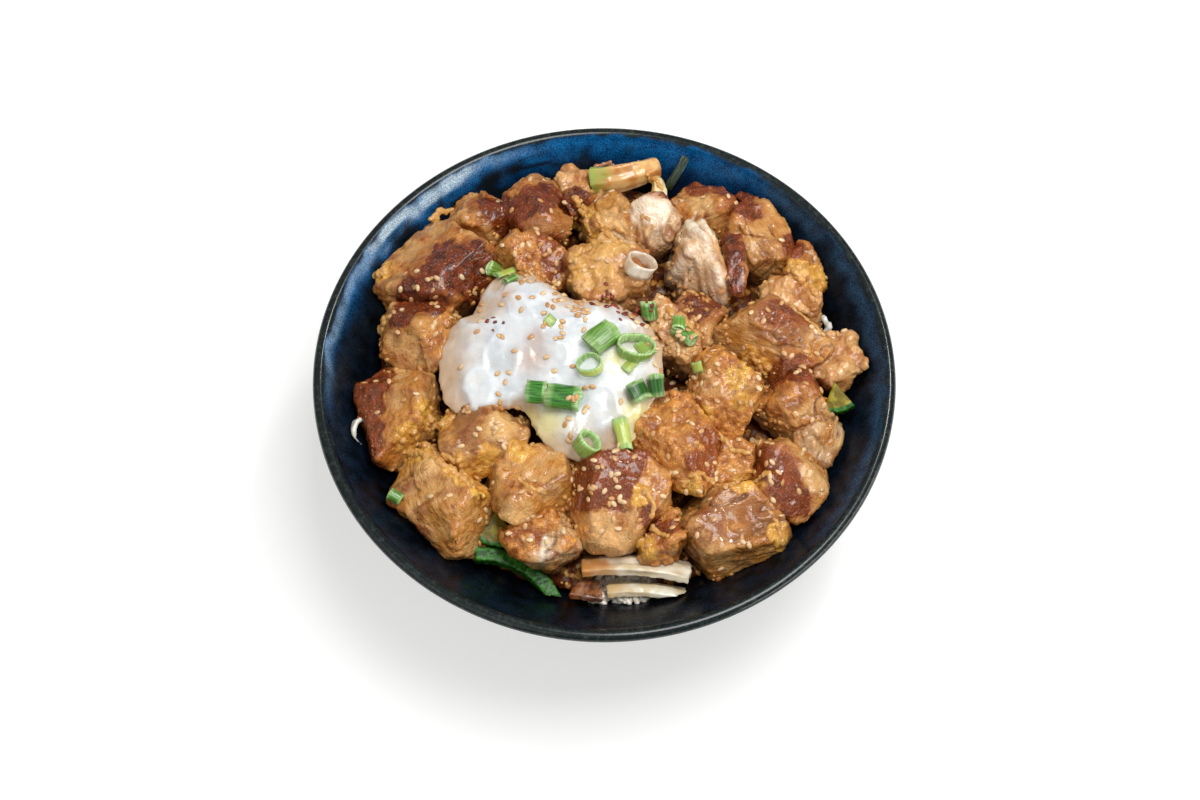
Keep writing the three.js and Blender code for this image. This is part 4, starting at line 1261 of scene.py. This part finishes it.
# Where the sesame seeds fall, as x, y, reach and number
SEED_PATCHES = [
    (-14, 14, 9, 26), (-38, 8, 17, 10), (-20, -6, 22, 12), (-24, 28, 12, 12), (-4, -26, 14, 10),
    (0, -44, 12, 30), (2, -58, 14, 8), (24, 10, 16, 46), (33, 2, 13, 20), (0, 38, 18, 22),
    (-26, 42, 12, 18), (-64, 24, 14, 16), (-58, 40, 16, 10), (-74, -14, 16, 8), (-50, -46, 22, 12),
    (-40, -26, 14, 12), (-26, -42, 14, 8), (-22, -60, 12, 10), (28, -28, 16, 14), (44, -10, 14, 14),
    (60, 14, 18, 22), (66, -10, 14, 12), (62, -40, 14, 14), (46, -56, 18, 16), (18, -60, 10, 6),
    (48, 62, 18, 8), (70, 42, 12, 8), (78, 20, 10, 6), (-30, 66, 20, 10), (4, 62, 14, 8),
    (0, 0, 78, 34),
]
SEED_SIZE = (2.6, 1.75, 0.95)

# The chili flakes, as x and y
FLAKES = [(1, 26), (6, 23), (11, 18), (-2, 24), (4, 20), (14, 16), (-38, 12), (14, 24), (8, 17)]


class ToppingSettings(bpy.types.PropertyGroup):
    seed_share: FloatProperty(
        name="Seeds", description="How many of the sesame seeds fall", default=1, min=0, max=2,
        subtype="FACTOR",
    )
    crumbs: IntProperty(
        name="Crumbs", description="How many crumbs of egg and meat lie in the gaps", default=1200,
        min=0, max=3000,
    )
    rice_grains: IntProperty(
        name="Rice Grains", description="How many loose grains show", default=110, min=0, max=400
    )


def laid(spot, normal, draw, sink=0.0, tip=0.25):
    """A place on the food: on a point, facing along its normal, turned and tipped at random."""
    tipped = (normal + Vector([draw.uniform(-tip, tip) for _ in range(3)])).normalized()
    lie = tipped.to_track_quat("Z", "Y").to_matrix().to_4x4()
    turn = Matrix.Rotation(draw.uniform(0, 2 * math.pi), 4, "Z")
    return Matrix.Translation(spot - normal * sink * MM) @ lie @ turn


def scattered_in(draw, x, y, reach):
    angle = draw.uniform(0, 2 * math.pi)
    out = reach * math.sqrt(draw.random())
    return x + out * math.cos(angle), y + out * math.sin(angle)


def crumb():
    """One crumb: a small ball with uneven sides."""
    bpy.ops.mesh.primitive_ico_sphere_add(subdivisions=1, radius=MM)
    piece = bpy.context.active_object
    lumpy(piece, 0.9, 0.9)
    return piece


# Threads and bits of egg and onion: the kind, thickness and course of each, in mm
STRANDS = [
    ("egg", 1.5, [(-70, -26), (-62, -33), (-52, -40), (-44, -47)]),
    ("egg", 1.2, [(-66, -24), (-58, -32), (-50, -37), (-45, -45)]),
    ("egg", 1.1, [(-11, 67), (-7, 61), (-5, 53), (-3, 46), (-6, 42)]),
    ("egg", 0.9, [(-9, 66), (-3, 60), (-1, 54), (2, 50)]),
    ("egg", 1.6, [(-83, 42), (-80, 40), (-79, 43)]),
    ("egg", 1.4, [(-82, 25), (-79, 22), (-80, 27)]),
    ("egg", 1.0, [(27, -46), (33, -42), (41, -44), (49, -42), (57, -41)]),
    ("egg", 1.0, [(58, -57), (60, -61), (61, -65)]),
    ("egg", 1.0, [(43, 5), (47, 3), (52, 6), (57, 0)]),
    ("egg", 1.3, [(67, 41), (70, 36), (75, 33), (76, 27)]),
    ("egg", 1.1, [(33, 8), (30, 13), (24, 16), (22, 20)]),
    ("egg", 1.0, [(-12, 38), (-6, 46), (4, 48), (11, 44)]),
    ("egg", 0.9, [(14, -50), (17, -55), (16, -60), (22, -64)]),
    ("egg", 1.3, [(-62, -16), (-57, -21), (-52, -18)]),
    ("egg", 1.2, [(-57, 71), (-61, 70), (-64, 66), (-60, 66)]),
    ("egg", 0.9, [(40, -26), (44, -32), (50, -33)]),
    ("egg", 0.9, [(-30, -44), (-26, -49), (-20, -50)]),
    ("egg", 0.9, [(66, 22), (72, 20), (77, 14)]),
    ("orange", 0.8, [(-4, 86), (-3, 91), (2, 92), (5, 88), (3, 84)]),
    ("egg", 1.0, [(16, 81), (19, 78), (21, 74)]),
    ("white", 1.2, [(80, 29), (82, 25), (80, 23)]),
]


def strand(name, course, thickness, ground, draw):
    """A soft thread along a course over the food, uneven in its thickness."""
    bpy.ops.mesh.primitive_ico_sphere_add(subdivisions=2, radius=thickness * MM)
    prototype = bpy.context.active_object
    places = []
    for (x0, y0), (x1, y1) in itertools.pairwise(course):
        steps = max(2, math.ceil(math.hypot(x1 - x0, y1 - y0) / (0.5 * thickness)))
        for step in range(steps):
            share = step / steps
            x = x0 + share * (x1 - x0) + draw.uniform(-0.4, 0.4) * thickness
            y = y0 + share * (y1 - y0) + draw.uniform(-0.4, 0.4) * thickness
            size = draw.uniform(0.7, 1.25)
            flattened = Matrix.Diagonal((size, size, size * 0.7, 1))
            places.append(Matrix.Translation(ground.under(x, y)[0]) @ flattened)
    return remeshed(joined_copies(name, prototype, places, [0.5] * len(places)), 0.35, 8, (1.8, 0.8))


class RICEBOWL_OT_strands(bpy.types.Operator):
    """Trail threads of egg and onion over the chunks"""

    bl_idname = "ricebowl.strands"
    bl_label = "Egg Threads"

    def execute(self, context):
        ground = Ground()
        draw = random.Random(7)
        threads = {kind: [] for kind, _, _ in STRANDS}
        for kind, thickness, course in STRANDS:
            piece = strand(f"{kind}_thread", course, thickness, ground, draw)
            paint(piece, egg=0.75, end=0)
            paint_grain(piece, along_grain(points_of(piece)))
            threads[kind].append(piece)
        finish_piece(joined("egg_threads", threads["egg"]), "egg_curd", curd_look("egg_curds"))
        for kind, light, dark in (("white", "f4efe6", "dfd6c6"), ("orange", "c98a52", "9a5a2c")):
            finish = onion_look(f"{kind}_onion", light, dark, light)
            finish_piece(joined(f"{kind}_onion_threads", threads[kind]), "onion", finish)
        return {"FINISHED"}


# Leaf scraps: young share, radius, length, flatness, turns, and where each lies, in mm and degrees
SCRAPS = [
    (0.1, 2.3, 5.0, 0.8, (0, 0, 20), (-72, -47)),
    (0.6, 2.0, 6.0, 0.3, (0, 0, 150), (9, -5)),
    (0.85, 2.6, 4.0, 0.4, (0, 0, 60), (33, -2)),
    (0.3, 2.8, 6.0, 0.4, (0, 10, 40), (-40, 41)),
    (0.7, 2.0, 9.0, 0.4, (0, 0, -60), (-35, 36)),
    (0.15, 2.2, 5.0, 0.5, (0, 0, 100), (-33, 31)),
    (0.2, 2.2, 6.0, 0.4, (0, 0, 30), (26, 12)),
    (0.4, 2.6, 7.0, 0.3, (0, 0, 80), (14, 2)),
    (0.5, 1.8, 4.0, 0.3, (0, 0, 10), (-19, 12)),
]


class RICEBOWL_OT_scraps(bpy.types.Operator):
    """Drop the small scraps of leaf"""

    bl_idname = "ricebowl.scraps"
    bl_label = "Leaf Scraps"

    def execute(self, context):
        ground = Ground()
        scraps = []
        for young, radius, length, flat, turn, (x, y) in SCRAPS:
            piece = tube("leaf_scrap", radius, length, flat, turn)
            spot, normal, _ = ground.under(x, y)
            lie = np.array(normal.to_track_quat("Z", "Y").to_matrix())
            lift = 0.8 * radius * flat * np.array(normal)
            move_points(piece, points_of(piece) @ lie.T + np.array(spot) / MM + lift)
            paint(piece, young=young)
            scraps.append(piece)
        finish_piece(joined("leaf_scraps", scraps), "spring_onion", leaf_look("spring_onion_leaf"))
        return {"FINISHED"}


class RICEBOWL_OT_seeds(bpy.types.Operator):
    """Sprinkle the sesame seeds and the chili flakes"""

    bl_idname = "ricebowl.seeds"
    bl_label = "Sesame and Chili"

    def execute(self, context):
        ground = Ground()
        draw = random.Random(12)
        places = []
        for x, y, reach, count in SEED_PATCHES:
            for _ in range(round(count * context.scene.ricebowl_toppings.seed_share)):
                spot, normal, name = ground.under(*scattered_in(draw, x, y, reach))
                if name != "bowl_glazed" and normal.z >= 0.25:
                    places.append(laid(spot, normal, draw, sink=-0.15))
        finish = topping_look("sesame", "c48a4c", "f0d2a4", 0.4)
        strew("sesame_seeds", grain(SEED_SIZE), places, draw, "rice", finish)
        places = []
        for x, y in FLAKES * 5:
            spot, normal, _ = ground.under(*scattered_in(draw, x, y, 4))
            place = laid(spot, normal, draw, sink=0.1)
            places.append(place @ Matrix.Diagonal((draw.uniform(0.7, 1.7), draw.uniform(0.5, 1.1), 0.4, 1)))
        finish = topping_look("chili", "5c1a0c", "a8401c", 0.35)
        strew("chili_flakes", crumb(), places, draw, "sauce", finish)
        return {"FINISHED"}


# How far out the crumbs lie, and how deep under the dome of the chunks, in mm
CRUMB_REACH = 84
CRUMB_DEPTHS = (4, 16)


class RICEBOWL_OT_crumbs(bpy.types.Operator):
    """Drop crumbs of egg and meat along the gaps"""

    bl_idname = "ricebowl.crumbs"
    bl_label = "Crumbs"

    def execute(self, context):
        ground = Ground()
        draw = random.Random(31)
        wanted = context.scene.ricebowl_toppings.crumbs
        places = []
        for _ in range(wanted * 4):
            if len(places) >= wanted:
                break
            x, y = scattered_in(draw, 0, 0, CRUMB_REACH)
            spot, normal, name = ground.under(x, y)
            depth = topping_top(x, y) - spot.z / MM
            if CRUMB_DEPTHS[0] < depth < CRUMB_DEPTHS[1] and name.endswith(("_cooked", "_set", "_layer")):
                size = draw.uniform(0.35, 1.1)
                stretch = Matrix.Diagonal((size * draw.uniform(0.9, 2.2), size, size * 0.7, 1))
                places.append(laid(spot, normal, draw, tip=0.6) @ stretch)
        finish = topping_look("crumb", "a8642c", "e6b468", 0.4)
        strew("food_crumbs", crumb(), places, draw, "egg_curd", finish)
        return {"FINISHED"}


# Stage


class StageSettings(bpy.types.PropertyGroup):
    key_power: FloatProperty(
        name="Key Power", description="Power of the large soft light", default=6.3, min=0, unit="POWER"
    )
    fill_power: FloatProperty(
        name="Fill Power", description="Power of the light from the front left", default=1.5, min=0,
        unit="POWER",
    )
    glint_power: FloatProperty(
        name="Glint Power", description="Power of the small light that makes the glints", default=1.4,
        min=0, unit="POWER",
    )
    low_power: FloatProperty(
        name="Low Power", description="Power of the low light from the right", default=4.5, min=0,
        unit="POWER",
    )
    floor_colour: FloatVectorProperty(
        name="Floor", description="Colour of the floor", subtype="COLOR", size=4,
        default=linear("d0d0cf"), min=0, max=1,
    )


# The place and size of each light, in metres
LIGHTS = {
    "key_light": ((0.22, 0.02, 1.0), (0.45, 0.45)),
    "fill_light": ((-0.6, -0.5, 0.7), (0.9, 0.9)),
    "glint_light": ((0.3, 0.4, 0.85), (0.1, 0.1)),
    "low_light": ((0.9, -0.42, 0.27), (1.0, 0.22)),
}


def soft_light(name, place, size, power):
    """A rectangular light at a place, which faces the food."""
    bpy.ops.object.light_add(type="AREA", location=place)
    lamp = bpy.context.active_object
    lamp.name = name
    lamp.data.shape = "RECTANGLE"
    lamp.data.size, lamp.data.size_y = size
    lamp.data.energy = power
    aim = Vector((0, 0, 0.06)) - Vector(place)
    lamp.rotation_euler = aim.to_track_quat("-Z", "Y").to_euler()


class RICEBOWL_OT_stage(bpy.types.Operator):
    """Set the floor, the lights and the camera"""

    bl_idname = "ricebowl.stage"
    bl_label = "Stage"

    def execute(self, context):
        settings = context.scene.ricebowl_stage
        bpy.ops.mesh.primitive_plane_add(size=8, location=(0, 0, -0.2 * MM))
        floor = bpy.context.active_object
        floor.name = "floor"
        floor.data.materials.append(floor_look("pale_floor", settings.floor_colour))
        for name, (place, size) in LIGHTS.items():
            soft_light(name, place, size, getattr(settings, name.replace("light", "power")))
        self.add_room(context)
        context.scene.view_settings.view_transform = "Standard"
        context.scene.view_settings.look = "None"
        self.add_camera(context)
        return {"FINISHED"}

    def add_room(self, context):
        """Soft light from all round, brightest from overhead."""
        world = bpy.data.worlds.new("soft_room")
        world.use_nodes = True
        tree = Tree(world.node_tree)
        height = tree.node("SeparateXYZ", {0: tree.node("TexCoord", {})["Generated"]})["Z"]
        inputs = {"Value": height, "From Min": 0.0, "From Max": 0.8, "To Min": 0.12, "To Max": 0.44}
        brightness = tree.node("MapRange", inputs)["Result"]
        tree.fill(world.node_tree.nodes["Background"], {"Strength": brightness, "Color": (1, 1, 1, 1)})
        context.scene.world = world

    def add_camera(self, context):
        rise = math.radians(CAMERA_ELEVATION)
        away = Vector((0, -math.cos(rise), math.sin(rise))) * CAMERA_DISTANCE
        aim = Vector((0, 0, BOWL_HEIGHT * MM))
        bpy.ops.object.camera_add(location=aim + away, rotation=(math.pi / 2 - rise, 0, 0))
        camera = context.active_object
        camera.data.lens = CAMERA_LENS
        camera.data.shift_x, camera.data.shift_y = CAMERA_SHIFT
        camera.data.clip_start = 0.01
        context.scene.camera = camera


class RICEBOWL_PT_panel(bpy.types.Panel):
    """The pieces of the dish, in the order in which they are made"""

    bl_label = "Rice Bowl"
    bl_idname = "RICEBOWL_PT_panel"
    bl_space_type = "VIEW_3D"
    bl_region_type = "UI"
    bl_category = "Rice Bowl"

    def draw(self, context):
        for settings in SETTINGS:
            values = getattr(context.scene, settings)
            for name in values.bl_rna.properties.keys():
                if name not in ("rna_type", "name"):
                    self.layout.prop(values, name)
        for operator in OPERATORS:
            self.layout.operator(operator.bl_idname)


OPERATORS = (
    RICEBOWL_OT_stage,
    RICEBOWL_OT_bowl,
    RICEBOWL_OT_rice,
    RICEBOWL_OT_sauce,
    RICEBOWL_OT_egg,
    RICEBOWL_OT_chicken,
    RICEBOWL_OT_curds,
    RICEBOWL_OT_onions,
    RICEBOWL_OT_spring_onion,
    RICEBOWL_OT_courgette,
    RICEBOWL_OT_strands,
    RICEBOWL_OT_scraps,
    RICEBOWL_OT_crumbs,
    RICEBOWL_OT_seeds,
)
SETTINGS = {
    "ricebowl_glaze": GlazeSettings,
    "ricebowl_chicken": ChickenSettings,
    "ricebowl_toppings": ToppingSettings,
    "ricebowl_stage": StageSettings,
}


def register():
    for each in (*SETTINGS.values(), *OPERATORS, RICEBOWL_PT_panel):
        bpy.utils.register_class(each)
    for name, settings in SETTINGS.items():
        setattr(bpy.types.Scene, name, PointerProperty(type=settings))


def unregister():
    for name in SETTINGS:
        delattr(bpy.types.Scene, name)
    for each in reversed((*SETTINGS.values(), *OPERATORS, RICEBOWL_PT_panel)):
        bpy.utils.unregister_class(each)


def main():
    register()
    for operator in OPERATORS:
        group, name = operator.bl_idname.split(".")
        getattr(getattr(bpy.ops, group), name)()


if __name__ == "__main__":
    main()
